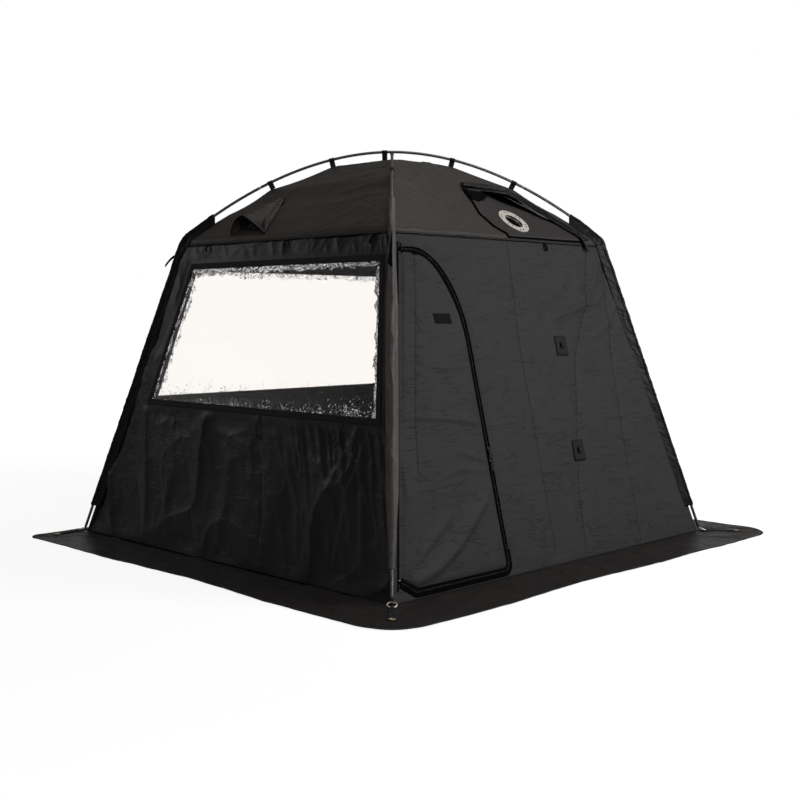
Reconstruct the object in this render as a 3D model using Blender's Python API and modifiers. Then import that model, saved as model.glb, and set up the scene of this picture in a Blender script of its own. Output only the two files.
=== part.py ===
"""A sauna tent: four leaning quilted walls with a D-shaped zipped door and two clear windows, a roof hung by
straps from two crossing bent poles, a flue panel with a metal ring, a hooded vent and a ground skirt.

Metres, +Z up. The door faces -Y, the tent stands on z = 0, and the origin is under the middle of its box.
"""

import math

import bmesh
import bpy
from mathutils import Matrix, Vector

# Driving dimensions
BASE_SIDE = 2.100  # between the pole feet, along a wall
TOP_HEIGHT = 1.8135  # ground to the top of the crossing poles
SHOULDER_R = 0.992  # the poles' bend, out from the tent's axis along a diagonal
SHOULDER_Z = 1.396
ARCH_POWER = 1.93  # a bent pole falls away from its crown nearly as a parabola
ELBOW_REACH = 0.030  # how far the bend runs on each side of its corner
SEAM_Z = 1.363  # the seam between the walls and the roof
GAP = 0.0003  # between solids that touch

POLE_R = 0.0065
ARCH_STEP = 0.045  # between the points of a bent tube
INSERT_R = 0.0048  # the thinner tube inside a pole joint
INSERT_LENGTH = 0.060
ARCH_JOINT_GAP = 0.0008  # the ends of bent tubes meet a little askew
LEG_JOINT_Z = 0.700
ARCH_JOINT_R = 0.620
SLEEVE_R = 0.0110
SLEEVE_BORE_R = 0.0073
SLEEVE_FOOT_Z = 0.130
SLEEVE_TOP_R = 0.840
SLEEVE_REACH = 0.0145  # from a pole's middle in to the corner of the fabric

WALL_T = 0.008
ROOF_T = 0.004
STRAP_DROP = 0.034  # how far the ridge hangs below the middle of the upper pole, at a strap
SLEEVED_DROP = 0.0185  # and at the lower and upper edges of the flat band
BAND_DROP = 0.041
CROWN_DROP = 0.040
RIDGE_SAGS = (0.012, 0.015, 0.022)  # midway between two hangers, from the sleeve inwards

SKIRT_T = 0.004
SKIRT_OUT = 1.310  # the skirt's outer edge, from the tent's axis
SKIRT_CORNER_R = 0.170
FOLD_OUT = 1.110  # the back skirt is folded under along this line
FOLD_IN = 0.880
FOLD_SLOT = 0.002
BACK_CORNER_R = 0.060

RING_R = 0.018
RING_WIRE_R = 0.002
PIN_R = 0.0026
PIN_BORE_R = 0.0034
PIN_REACH = 0.034
RING_LEAN = math.radians(54)  # the ring lies outwards from the line of the pole by this angle
KEEPER_R = 0.0060  # the webbing loop that the ring hangs in
KEEPER_T = 0.0018
KEEPER_WIDTH = 0.012
ANCHOR_BACK = 0.0345  # how far the webbing reaches in past the keeper, under the pole's end
ANCHOR_MARGIN = 0.004  # of webbing round the eyelet
ANCHOR_T = 0.003
ANCHOR_WIDTH = 0.025
EYELET_R = 0.014
EYELET_BORE_R = 0.0055
EYELET_RISE = 0.0015
EYELETS = {"front": (1.175, -1.175), "back": (1.190, 1.055)}  # on the right, from the tent's axis
CUTTER_LENGTH = 0.05

STRAP_WIDTH = 0.025
STRAP_T = 0.002
STRAP_SLACK = 0.0010  # between the pole and the webbing round it
STRAP_RADII = (0.575, 0.285)
CROWN_STRAP_R = 0.035

DOOR_INSET = 0.036  # from the corner of the wall to the door's sewn edge
DOOR_RIGHT = -0.371
DOOR_FOOT_Z = 0.030
DOOR_CUT_X = -0.905  # the cut lower corner
DOOR_CUT_Z = 0.075
DOOR_TOP_Z = 1.300
DOOR_ARCH_X = -0.610
DOOR_ARCH_Z = 0.930
DOOR_CORNER_R = 0.030
ZIP_END = 0.008  # the zip stops this far short of the sewn edge
ZIP_SPLIT = 0.0004  # from the middle of the zip to each half
ZIP_BEAD = 0.0034
ZIP_TAPE = 0.022
ZIP_TAPE_T = 0.002
ZIP_BEAD_RISE = 0.001
ZIP_CUT = 0.010  # from the middle of the zip to the edges of the door and of the wall
DOOR_HINGE_CLEAR = 0.0025

SLIDER_WIDTH = 0.012
SLIDER_LENGTH = 0.022
SLIDER_LIP = 0.0015
SLIDER_ROOF = 0.002
SLIDER_HEIGHTS = {"upper": 0.500, "lower": 0.450}
EAR_T = 0.0015
EAR_HEIGHT = 0.0052
EAR_LENGTH = 0.006
EAR_SINK = 0.0005
PULL_PIN_R = 0.0010
PULL_PIN_RISE = 0.0030
PULL_EYE_R = 0.0022
PULL_BORE_R = 0.0013
PULL_WIDTH = 0.005
PULL_LENGTH = 0.034
PULL_T = 0.0014

WINDOW_TOP_Z = 1.252
WINDOW_FOOT_Z = 0.650
WINDOW_TOP_HALF = 0.620
WINDOW_FOOT_HALF = 0.751
WINDOW_MIDDLES = {"left": 0.039, "back": -0.020}  # along each wall, from its middle
WINDOW_TAPE = 0.028
WINDOW_TAPE_T = 0.002
WINDOW_CUT = 0.015  # the wall is cut this far outside the clear part
FILM_T = 0.001

FLUE_X = 0.148
FLUE_UP = 0.092  # up the slope from the lower edge of the flat band
FLUE_BORE_R = 0.0455
FLUE_RING_R = 0.0775
FLUE_RING_T = 0.003
FLUE_CUT_R = 0.048
FLUE_PANEL_T = 0.002
ROLL_R = 0.009

VENT_X = -0.228
VENT_HALF = 0.120
VENT_RISE = 0.064
VENT_LENGTH = 0.275
VENT_FOOT_UP = 0.003
VENT_LEAN = 0.80  # the mouth leans back up the slope by this share of its rise
VENT_HOOD_T = 0.0025
VENT_SINK = 0.012  # how far the cone goes below the gore before the gore cuts it
VENT_HOLE = (0.120, 0.080)
VENT_HOLE_UP = 0.075
NET_T = 0.001
NET_CELLS = (9, 6)
NET_CORD = 0.003
NET_HEM = 0.008

# Worked out from them
FOOT_R = BASE_SIDE / math.sqrt(2)
CROWN_Z = {"upper": TOP_HEIGHT - POLE_R}
CROWN_Z["lower"] = CROWN_Z["upper"] - 2 * POLE_R - GAP
LEG_SLOPE = (FOOT_R - SHOULDER_R) / SHOULDER_Z
LEG_TILT = math.atan(LEG_SLOPE)
WALL_FOOT = (FOOT_R - SLEEVE_REACH) / math.sqrt(2)
WALL_SLOPE = LEG_SLOPE / math.sqrt(2)
WALL_TILT = math.atan(WALL_SLOPE)
AXIS_Y = (SKIRT_OUT - FOLD_OUT) / 2
ANCHOR_TOP = SKIRT_T + GAP + ANCHOR_T
RING_TURN = LEG_TILT + RING_LEAN
RING_NECK = GAP + RING_WIRE_R  # from the pole's end to the middle of the ring's wire
LEG_TIP_Z = ANCHOR_TOP + RING_NECK + RING_NECK * math.cos(LEG_TILT) + 2 * RING_R * math.cos(RING_TURN)
RING_END_R = FOOT_R - LEG_SLOPE * LEG_TIP_Z + RING_NECK * math.sin(LEG_TILT)
RING_END_R += 2 * RING_R * math.sin(RING_TURN)
BAND = (0.970, 0.770)  # the flat band of the roof that carries the flue ring
HANGERS = (BAND[1], *STRAP_RADII, CROWN_STRAP_R)

SIDES = {"front": 0, "right": 90, "back": 180, "left": 270}
CORNERS = {"front_left": 225, "front_right": 315, "back_right": 45, "back_left": 135}


def pole_of(corner):
    """The pole from front right to back left passes over the other."""
    return "upper" if corner in ("front_right", "back_left") else "lower"


# The scene: parts in one collection, cutters and guides in another, all carried by an empty
for old in list(bpy.data.objects):
    bpy.data.objects.remove(old)
parts = bpy.data.collections.new("sauna_tent")
cutters = bpy.data.collections.new("cutters")
for collection in (parts, cutters):
    bpy.context.scene.collection.children.link(collection)
tent_axis = bpy.data.objects.new("tent_axis", None)
tent_axis.location = (0, AXIS_Y, 0)
parts.objects.link(tent_axis)


def material(name, colour, roughness, metallic=0.0, alpha=1.0):
    made = bpy.data.materials.new(name)
    made.use_nodes = True
    shader = made.node_tree.nodes["Principled BSDF"]
    shader.inputs["Base Color"].default_value = (*colour, 1)
    shader.inputs["Roughness"].default_value = roughness
    shader.inputs["Metallic"].default_value = metallic
    shader.inputs["Alpha"].default_value = alpha
    made.diffuse_color = (*colour, alpha)
    return made


QUILT = material("quilted_polyester", (0.030, 0.030, 0.031), 0.75)
ROOF_CLOTH = material("coated_roof_cloth", (0.040, 0.039, 0.038), 0.65)
SKIRT_CLOTH = material("skirt_cloth", (0.026, 0.025, 0.025), 0.7)
SLEEVE_CLOTH = material("sleeve_cloth", (0.055, 0.052, 0.050), 0.6)
WEBBING = material("black_webbing", (0.008, 0.008, 0.008), 0.85)
ALUMINIUM = material("drawn_aluminium", (0.42, 0.40, 0.38), 0.35, 1.0)
FILM = material("clear_film", (0.9, 0.9, 0.9), 0.1, 0.0, 0.3)
STEEL = material("stainless_steel", (0.66, 0.62, 0.57), 0.35, 1.0)
BLACK_METAL = material("black_enamelled_zinc", (0.012, 0.012, 0.012), 0.4, 0.6)
PANEL_CLOTH = material("coated_glass_cloth", (0.045, 0.044, 0.043), 0.7)
NET_CORDAGE = material("insect_net", (0.010, 0.010, 0.010), 0.8)


def add(name, data, matrix, look=None, helper=False):
    """Puts an object on the tent, or among the cutters and guides."""
    obj = bpy.data.objects.new(name, data)
    (cutters if helper else parts).objects.link(obj)
    obj.parent = tent_axis
    obj.matrix_basis = matrix
    if helper:
        obj.hide_render = True
        obj.display_type = "WIRE"
    if look:
        data.materials.clear()
        data.materials.append(look)
    return obj


def as_mesh(obj):
    """The curve object as a closed mesh object of the same name and place."""
    bpy.context.view_layer.update()
    evaluated = obj.evaluated_get(bpy.context.evaluated_depsgraph_get())
    mesh = bpy.data.meshes.new_from_object(evaluated)
    bm = bmesh.new()
    bm.from_mesh(mesh)
    bmesh.ops.remove_doubles(bm, verts=bm.verts, dist=0.00001)
    bmesh.ops.recalc_face_normals(bm, faces=bm.faces)
    bm.to_mesh(mesh)
    bm.free()
    name, matrix, look = obj.name, obj.matrix_basis.copy(), obj.active_material
    helper = obj.hide_render
    bpy.data.objects.remove(obj)
    return add(name, mesh, matrix, look, helper)


def plate(name, outlines, thickness, matrix, look=None, top=0.0, helper=False):
    """Closed outlines filled in their plane and extruded, with the upper face at the height top."""
    curve = bpy.data.curves.new(name, "CURVE")
    curve.dimensions = "2D"
    curve.fill_mode = "BOTH"
    curve.extrude = thickness / 2
    for outline in outlines:
        spline = curve.splines.new("POLY")
        spline.points.add(len(outline) - 1)
        for point, (x, y) in zip(spline.points, outline):
            point.co = (x, y, 0, 1)
        spline.use_cyclic_u = True
    lift = Matrix.Translation((0, 0, top - thickness / 2))
    return as_mesh(add(name, curve, matrix @ lift, look, helper))


def tube(name, line, radius, matrix, look=None, helper=False, resolution=3):
    """A round bar along the points of line."""
    curve = bpy.data.curves.new(name, "CURVE")
    curve.dimensions = "3D"
    curve.bevel_depth = radius
    curve.bevel_resolution = resolution
    curve.use_fill_caps = True
    spline = curve.splines.new("POLY")
    spline.points.add(len(line) - 1)
    for point, place in zip(spline.points, line):
        point.co = (*place, 1)
    made = as_mesh(add(name, curve, matrix, look, helper))
    made.data.shade_smooth()
    made.data.set_sharp_from_angle(angle=math.radians(50))
    return made


def box(name, size, place, matrix, look=None, helper=False):
    bm = bmesh.new()
    bmesh.ops.create_cube(bm, size=1, matrix=Matrix.Translation(place) @ Matrix.Diagonal((*size, 1)))
    mesh = bpy.data.meshes.new(name)
    bm.to_mesh(mesh)
    bm.free()
    return add(name, mesh, matrix, look, helper)


def cylinder(name, radius, length, matrix, look=None, helper=False, segments=32):
    bm = bmesh.new()
    bmesh.ops.create_cone(
        bm, cap_ends=True, segments=segments, radius1=radius, radius2=radius, depth=length
    )
    mesh = bpy.data.meshes.new(name)
    bm.to_mesh(mesh)
    bm.free()
    return add(name, mesh, matrix, look, helper)


def combine(obj, operation, *others):
    for other in others:
        modifier = obj.modifiers.new(f"{operation.lower()}_{other.name}", "BOOLEAN")
        modifier.operation = operation
        modifier.solver = "EXACT"
        modifier.object = other
    return obj


def circle(radius, segments, centre=(0, 0)):
    turns = [2 * math.pi * i / segments for i in range(segments)]
    return [(centre[0] + radius * math.cos(t), centre[1] + radius * math.sin(t)) for t in turns]


def arc(centre, radii, start, end, steps):
    """Points of an elliptical arc between two angles in degrees, both ends included."""
    turns = [math.radians(start + (end - start) * i / steps) for i in range(steps + 1)]
    return [(centre[0] + radii[0] * math.cos(t), centre[1] + radii[1] * math.sin(t)) for t in turns]


def offset_line(line, distance):
    """The open line moved sideways, to its left for a positive distance, with mitred bends."""
    points = [Vector(p) for p in line]
    runs = [(b - a).normalized() for a, b in zip(points, points[1:])]
    sides = [Vector((-run.y, run.x)) for run in runs]
    moved = [points[0] + sides[0] * distance]
    for point, before, after in zip(points[1:], sides, sides[1:]):
        middle = (before + after).normalized()
        moved.append(point + middle * distance / middle.dot(before))
    moved.append(points[-1] + sides[-1] * distance)
    return [tuple(p) for p in moved]


def side_matrix(side):
    return Matrix.Rotation(math.radians(SIDES[side]), 4, "Z")


def wall_matrix(side):
    """Local X runs along the wall to the right from outside, Y up its slope and Z out of its outer face."""
    lean = Matrix.Translation((0, -WALL_FOOT, 0)) @ Matrix.Rotation(math.pi / 2 - WALL_TILT, 4, "X")
    return side_matrix(side) @ lean


def up(z):
    """The distance up a wall's slope that reaches the height z."""
    return z / math.cos(WALL_TILT)


# The poles' centre lines, in the upright plane through a corner: x is the distance from the axis
def arch_z(pole, r):
    rise = CROWN_Z[pole] - SHOULDER_Z
    return CROWN_Z[pole] - rise * (abs(r) / SHOULDER_R) ** ARCH_POWER


def arch_angle(pole, r):
    rise = CROWN_Z[pole] - SHOULDER_Z
    return math.atan(rise / SHOULDER_R * ARCH_POWER * (r / SHOULDER_R) ** (ARCH_POWER - 1))


def leg_point(z):
    return Vector((FOOT_R - LEG_SLOPE * z, 0, z))


def arch_point(pole, r):
    return Vector((r, 0, arch_z(pole, r)))


def arch_line(pole, start, end, steps):
    return [arch_point(pole, start + (end - start) * i / steps) for i in range(steps + 1)]


def elbow_line(pole, leg_z, arch_r):
    """From the leg at leg_z, round the bend at the shoulder, to the arch at arch_r."""
    corner = Vector((SHOULDER_R, 0, SHOULDER_Z))
    start = leg_point(SHOULDER_Z - ELBOW_REACH * math.cos(LEG_TILT))
    end_r = SHOULDER_R - ELBOW_REACH * math.cos(arch_angle(pole, SHOULDER_R))
    end = arch_point(pole, end_r)
    bend = []
    for i in range(6):
        t = i / 5
        bend.append((1 - t) ** 2 * start + 2 * t * (1 - t) * corner + t**2 * end)
    steps = round((end_r - arch_r) / ARCH_STEP)
    return [leg_point(leg_z), *bend, *arch_line(pole, end_r, arch_r, steps)[1:]]


def corner_matrix(corner):
    return Matrix.Rotation(math.radians(CORNERS[corner]), 4, "Z")


# Pole sections: a leg, an elbow whose thinner ends plug into its neighbours, and one arch over the top
def leg_pole(corner):
    matrix = corner_matrix(corner)
    leg = tube(
        f"leg_pole_{corner}", [leg_point(LEG_TIP_Z), leg_point(LEG_JOINT_Z)], POLE_R, matrix, ALUMINIUM
    )
    socket_line = [leg_point(LEG_JOINT_Z - INSERT_LENGTH - 0.002), leg_point(LEG_JOINT_Z + 0.01)]
    socket = tube(f"leg_socket_{corner}", socket_line, INSERT_R + GAP, matrix, helper=True)
    pin_line = [leg_point(LEG_TIP_Z - 0.01), leg_point(LEG_TIP_Z + PIN_REACH + 0.004)]
    pin_bore = tube(f"pin_bore_{corner}", pin_line, PIN_BORE_R, matrix, helper=True, resolution=2)
    combine(leg, "DIFFERENCE", socket, pin_bore)


def elbow_pole(corner):
    matrix = corner_matrix(corner)
    pole = pole_of(corner)
    leg_z = LEG_JOINT_Z + GAP
    arch_r = ARCH_JOINT_R + ARCH_JOINT_GAP
    elbow = tube(f"elbow_pole_{corner}", elbow_line(pole, leg_z, arch_r), POLE_R, matrix, ALUMINIUM)
    reach = INSERT_LENGTH * math.cos(arch_angle(pole, ARCH_JOINT_R))
    lower = [leg_point(leg_z - INSERT_LENGTH), leg_point(leg_z + 0.02)]
    upper = arch_line(pole, arch_r + 0.02, arch_r - reach, 4)
    lower_insert = tube(f"leg_insert_{corner}", lower, INSERT_R, matrix, helper=True)
    upper_insert = tube(f"arch_insert_{corner}", upper, INSERT_R, matrix, helper=True)
    combine(elbow, "UNION", lower_insert, upper_insert)


def crown_pole(pole, corner):
    matrix = corner_matrix(corner)
    line = arch_line(pole, -ARCH_JOINT_R, ARCH_JOINT_R, 16)
    crown = tube(f"crown_pole_{pole}", line, POLE_R, matrix, ALUMINIUM)
    reach = (INSERT_LENGTH + 0.003) * math.cos(arch_angle(pole, ARCH_JOINT_R))
    for end in (-1, 1):
        bore = arch_line(pole, end * (ARCH_JOINT_R + 0.01), end * (ARCH_JOINT_R - reach), 4)
        socket = tube(f"crown_socket_{pole}_{end + 1}", bore, INSERT_R + GAP, matrix, helper=True)
        combine(crown, "DIFFERENCE", socket)


def pole_sleeve(corner):
    matrix = corner_matrix(corner)
    pole = pole_of(corner)
    line = elbow_line(pole, SLEEVE_FOOT_Z, SLEEVE_TOP_R)
    sleeve = tube(f"pole_sleeve_{corner}", line, SLEEVE_R, matrix, SLEEVE_CLOTH)
    bore_line = elbow_line(pole, SLEEVE_FOOT_Z - 0.02, SLEEVE_TOP_R)
    past_end = arch_point(pole, SLEEVE_TOP_R - 0.02)
    bore = tube(f"sleeve_bore_{corner}", [*bore_line, past_end], SLEEVE_BORE_R, matrix, helper=True)
    combine(sleeve, "DIFFERENCE", bore)


# The roof's ridge hangs under the poles, and its level sections are squares with their corners on the ridges
def ridge_z(r):
    """The height of the ridge: it sags between the straps, and follows the legs below the flat band."""
    if r > BAND[0]:
        return (FOOT_R - SLEEVE_REACH - r) / LEG_SLOPE
    if r > BAND[1]:
        share = (r - BAND[1]) / (BAND[0] - BAND[1])
        return arch_z("upper", r) - BAND_DROP - share * (SLEEVED_DROP - BAND_DROP)
    drops = (BAND_DROP, STRAP_DROP, STRAP_DROP, CROWN_DROP)
    drop = CROWN_DROP
    for outer, inner, drop_out, drop_in, sag in zip(HANGERS, HANGERS[1:], drops, drops[1:], RIDGE_SAGS):
        share = (r - inner) / (outer - inner)
        if 0 <= share <= 1:
            drop = drop_in + share * (drop_out - drop_in) + sag * math.sin(math.pi * share)
    return arch_z("upper", r) - drop


ROOF_STATIONS = (0.989, 0.9855, *BAND, 0.670, 0.575, 0.430, 0.285, 0.150, CROWN_STRAP_R, 0.012)


def roof_band(s):
    """The heights and half-widths at the lower and upper edges of the band that holds the half-width s."""
    r = s * math.sqrt(2)
    for lower, upper in zip(ROOF_STATIONS, ROOF_STATIONS[1:]):
        if r >= upper:
            break
    return ridge_z(lower), lower / math.sqrt(2), ridge_z(upper), upper / math.sqrt(2)


def band_matrix(side, s):
    """A frame on the band at s: the origin midway along its lower edge, X level, Y up the slope and Z out."""
    low_z, low_s, high_z, high_s = roof_band(s)
    slope = math.atan2(high_z - low_z, low_s - high_s)
    return side_matrix(side) @ Matrix.Translation((0, -low_s, low_z)) @ Matrix.Rotation(slope, 4, "X")


def roof_mesh(name, outset=0.0, closed=False):
    bm = bmesh.new()
    bottom = Matrix.Translation((0, 0, ridge_z(ROOF_STATIONS[0]))) @ Matrix.Rotation(math.pi / 4, 4, "Z")
    bmesh.ops.create_circle(bm, segments=4, radius=ROOF_STATIONS[0], matrix=bottom)
    edges = bm.edges[:]
    if closed:
        bmesh.ops.contextual_create(bm, geom=edges)
    for before, r in zip(ROOF_STATIONS, ROOF_STATIONS[1:]):
        made = bmesh.ops.extrude_edge_only(bm, edges=edges)["geom"]
        edges = [e for e in made if isinstance(e, bmesh.types.BMEdge) and e.is_boundary]
        for vert in {v for e in edges for v in e.verts}:
            vert.co = (vert.co.x * r / before, vert.co.y * r / before, ridge_z(r))
    bmesh.ops.contextual_create(bm, geom=edges)
    bmesh.ops.recalc_face_normals(bm, faces=bm.faces)
    if max(bm.faces, key=lambda face: face.calc_center_median().z).normal.z < 0:
        bmesh.ops.reverse_faces(bm, faces=bm.faces)
    bm.normal_update()
    moves = {v: v.normal * v.calc_shell_factor() * outset for v in bm.verts}
    for vert, move in moves.items():
        vert.co += move
    mesh = bpy.data.meshes.new(name)
    bm.to_mesh(mesh)
    bm.free()
    return mesh


def solidify(obj, thickness, offset):
    modifier = obj.modifiers.new("thickness", "SOLIDIFY")
    modifier.thickness = thickness
    modifier.offset = offset
    modifier.use_even_offset = True
    return obj


def wedge(side, name, low, high):
    """The quarter of the tent on one side of both diagonals, less half a gap."""
    reach = 1.6
    back = GAP / math.sqrt(2)
    outline = [(0, -back), (reach, -reach - back), (-reach, -reach - back)]
    outline.reverse()
    return plate(name, [outline], high - low, side_matrix(side), top=high, helper=True)


def frustum(name, half_foot, low, high, helper):
    """A square block whose sides lean as the walls do; half_foot is its half-width at the ground."""
    corner = [(half_foot - WALL_SLOPE * z) * math.sqrt(2) for z in (low, high)]
    middle = Matrix.Translation((0, 0, (low + high) / 2)) @ Matrix.Rotation(math.pi / 4, 4, "Z")
    bm = bmesh.new()
    bmesh.ops.create_cone(
        bm, cap_ends=True, segments=4, radius1=corner[0], radius2=corner[1], depth=high - low, matrix=middle
    )
    mesh = bpy.data.meshes.new(name)
    bm.to_mesh(mesh)
    bm.free()
    return add(name, mesh, Matrix.Identity(4), None, helper)


def window_outline(side, grow):
    """The clear part of a wall's window, grown on every side."""
    foot = up(WINDOW_FOOT_Z) - grow
    top = up(WINDOW_TOP_Z) + grow
    lean = (WINDOW_FOOT_HALF - WINDOW_TOP_HALF) / (up(WINDOW_TOP_Z) - up(WINDOW_FOOT_Z))
    foot_half = WINDOW_FOOT_HALF + grow + lean * grow
    top_half = WINDOW_TOP_HALF + grow - lean * grow
    middle = WINDOW_MIDDLES[side]
    shape = [(-foot_half, foot), (foot_half, foot), (top_half, top), (-top_half, top)]
    return [(middle + x, v) for x, v in shape]


def hinge_x(z):
    return -(WALL_FOOT - WALL_SLOPE * z) + DOOR_INSET


def zip_line():
    """The middle of the zip on the front wall: along the foot, up the right side and over the arch."""
    arch = arc(
        (DOOR_ARCH_X, up(DOOR_ARCH_Z)),
        (DOOR_RIGHT - DOOR_ARCH_X, up(DOOR_TOP_Z) - up(DOOR_ARCH_Z)),
        0,
        90,
        14,
    )
    bend = (DOOR_RIGHT - DOOR_CORNER_R, up(DOOR_FOOT_Z) + DOOR_CORNER_R)
    return [
        (hinge_x(DOOR_CUT_Z) + ZIP_END, up(DOOR_CUT_Z)),
        (DOOR_CUT_X, up(DOOR_FOOT_Z)),
        *arc(bend, (DOOR_CORNER_R, DOOR_CORNER_R), 270, 360, 5),
        *arch,
        (hinge_x(DOOR_TOP_Z) + ZIP_END, up(DOOR_TOP_Z)),
    ]


def door_outline(distance, hinge_clear):
    """The zip's line moved sideways and closed along the sewn edge."""
    line = offset_line(zip_line(), distance)
    ends = [(hinge_x(y * math.cos(WALL_TILT)) + hinge_clear, y) for y in (line[0][1], line[-1][1])]
    return [ends[0], *line, ends[1]]


def zip_half(distance, name, look):
    """One half of the zip: a flat tape with a thicker bead along its inner edge."""
    sign = math.copysign(1, distance)
    front = wall_matrix("front")

    def strip(near, far):
        inner = offset_line(zip_line(), sign * near)
        outer = offset_line(zip_line(), sign * far)
        return [inner + outer[::-1]]

    tape = plate(name, strip(ZIP_SPLIT, ZIP_TAPE), ZIP_TAPE_T, front, look, top=GAP + ZIP_TAPE_T)
    bead_t = ZIP_TAPE_T + 2 * ZIP_BEAD_RISE
    bead_top = GAP + ZIP_TAPE_T + ZIP_BEAD_RISE
    bead_strip = strip(ZIP_SPLIT + 0.00005, ZIP_BEAD)
    bead = plate(f"{name}_bead", bead_strip, bead_t, front, top=bead_top, helper=True)
    return combine(tape, "UNION", bead)


# Fabric shells: walls below the seam, roof gores above it
def wall_hole(name, outline, side):
    depth = 2 * CUTTER_LENGTH
    return plate(name, [outline], depth, wall_matrix(side), top=depth / 2, helper=True)


def wall(side):
    foot = SKIRT_T + GAP if side == "back" else 0
    shell = frustum(f"wall_{side}", WALL_FOOT, foot, SEAM_Z, False)
    shell.data.materials.append(QUILT)
    quarter = wedge(side, f"wall_quarter_{side}", -0.2, SEAM_Z + 0.2)
    combine(shell, "DIFFERENCE", bpy.data.objects["tent_inside"])
    combine(shell, "INTERSECT", quarter)
    if side in ("left", "back"):
        hole = wall_hole(f"window_hole_{side}", window_outline(side, WINDOW_CUT), side)
        combine(shell, "DIFFERENCE", hole)
    if side == "front":
        hole = wall_hole("doorway", door_outline(-ZIP_CUT, -DOOR_HINGE_CLEAR), side)
        combine(shell, "DIFFERENCE", hole)


def roof(side):
    gore = add(f"roof_{side}", roof_mesh(f"roof_{side}"), Matrix.Identity(4), ROOF_CLOTH)
    solidify(gore, ROOF_T, -1)
    combine(gore, "INTERSECT", wedge(side, f"roof_quarter_{side}", SEAM_Z + GAP, TOP_HEIGHT + 0.2))
    if side == "front":
        combine(gore, "DIFFERENCE", bpy.data.objects["flue_hole"])
    if side == "left":
        combine(gore, "DIFFERENCE", bpy.data.objects["vent_hole"])


# The ground skirt: flat side panels that own the corners, a front panel between them and a folded back panel
def skirt_side(side, sign):
    inner = WALL_FOOT + GAP
    front_bend = (SKIRT_OUT - SKIRT_CORNER_R, -(SKIRT_OUT - SKIRT_CORNER_R))
    back_bend = (SKIRT_OUT - BACK_CORNER_R, FOLD_OUT - BACK_CORNER_R)
    outline = [
        (inner, -SKIRT_OUT),
        *arc(front_bend, (SKIRT_CORNER_R, SKIRT_CORNER_R), -90, 0, 8),
        *arc(back_bend, (BACK_CORNER_R, BACK_CORNER_R), 0, 90, 5),
        (inner, FOLD_OUT),
    ]
    outline = [(sign * x, y) for x, y in outline]
    panel = plate(f"skirt_{side}", [outline], SKIRT_T, Matrix.Identity(4), SKIRT_CLOTH, top=SKIRT_T)
    for end, (x, y) in EYELETS.items():
        name = f"skirt_bore_{side}_{end}"
        matrix = Matrix.Translation((sign * x, y, 0))
        bore = cylinder(name, EYELET_BORE_R, CUTTER_LENGTH, matrix, helper=True, segments=16)
        combine(panel, "DIFFERENCE", bore)


def skirt_front():
    near = WALL_FOOT + GAP
    half = WALL_FOOT
    outline = [(-half, -SKIRT_OUT), (half, -SKIRT_OUT), (half, -near), (-half, -near)]
    plate("skirt_front", [outline], SKIRT_T, Matrix.Identity(4), SKIRT_CLOTH, top=SKIRT_T)


def skirt_back():
    """Folded under: two layers joined by a half-round fold, lying on the ground under the wall."""
    outer = SKIRT_T + FOLD_SLOT / 2
    slot = FOLD_SLOT / 2
    bend = FOLD_OUT - outer
    inner = WALL_FOOT + GAP
    section = [
        (FOLD_IN, 0),
        *arc((bend, outer), (outer, outer), -90, 90, 8),
        (inner, 2 * outer),
        (inner, outer + slot),
        *arc((bend, outer), (slot, slot), 90, -90, 4),
        (FOLD_IN, SKIRT_T),
    ]
    width = 2 * (WALL_FOOT - 1.5 * WALL_T)
    stand = Matrix.Rotation(math.pi / 2, 4, "Z") @ Matrix.Rotation(math.pi / 2, 4, "X")
    plate("skirt_back", [section], width, stand, SKIRT_CLOTH, top=width / 2)


# Feet: a ring with a pin that stands in the pole's end, held by webbing that ends in an eyelet
def ring_pin(corner):
    foot = leg_point(LEG_TIP_Z)
    stand = corner_matrix(corner) @ Matrix.Translation(foot) @ Matrix.Rotation(-LEG_TILT, 4, "Y")
    turns = [2 * math.pi * i / 20 for i in range(20)]
    curve = bpy.data.curves.new("ring", "CURVE")
    curve.dimensions = "3D"
    curve.bevel_depth = RING_WIRE_R
    curve.bevel_resolution = 2
    spline = curve.splines.new("POLY")
    spline.points.add(len(turns) - 1)
    for point, turn in zip(spline.points, turns):
        out = RING_R * (1 - math.sin(turn))
        point.co = (
            out * math.sin(RING_LEAN),
            RING_R * math.cos(turn),
            -RING_NECK - out * math.cos(RING_LEAN),
            1,
        )
    spline.use_cyclic_u = True
    ring = as_mesh(add(f"ring_pin_{corner}", curve, stand, STEEL))
    ring.data.shade_smooth()
    line = [(0, 0, -RING_NECK), (0, 0, PIN_REACH)]
    pin = tube(f"pin_{corner}", line, PIN_R, stand, helper=True, resolution=2)
    combine(ring, "UNION", pin)


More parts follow.
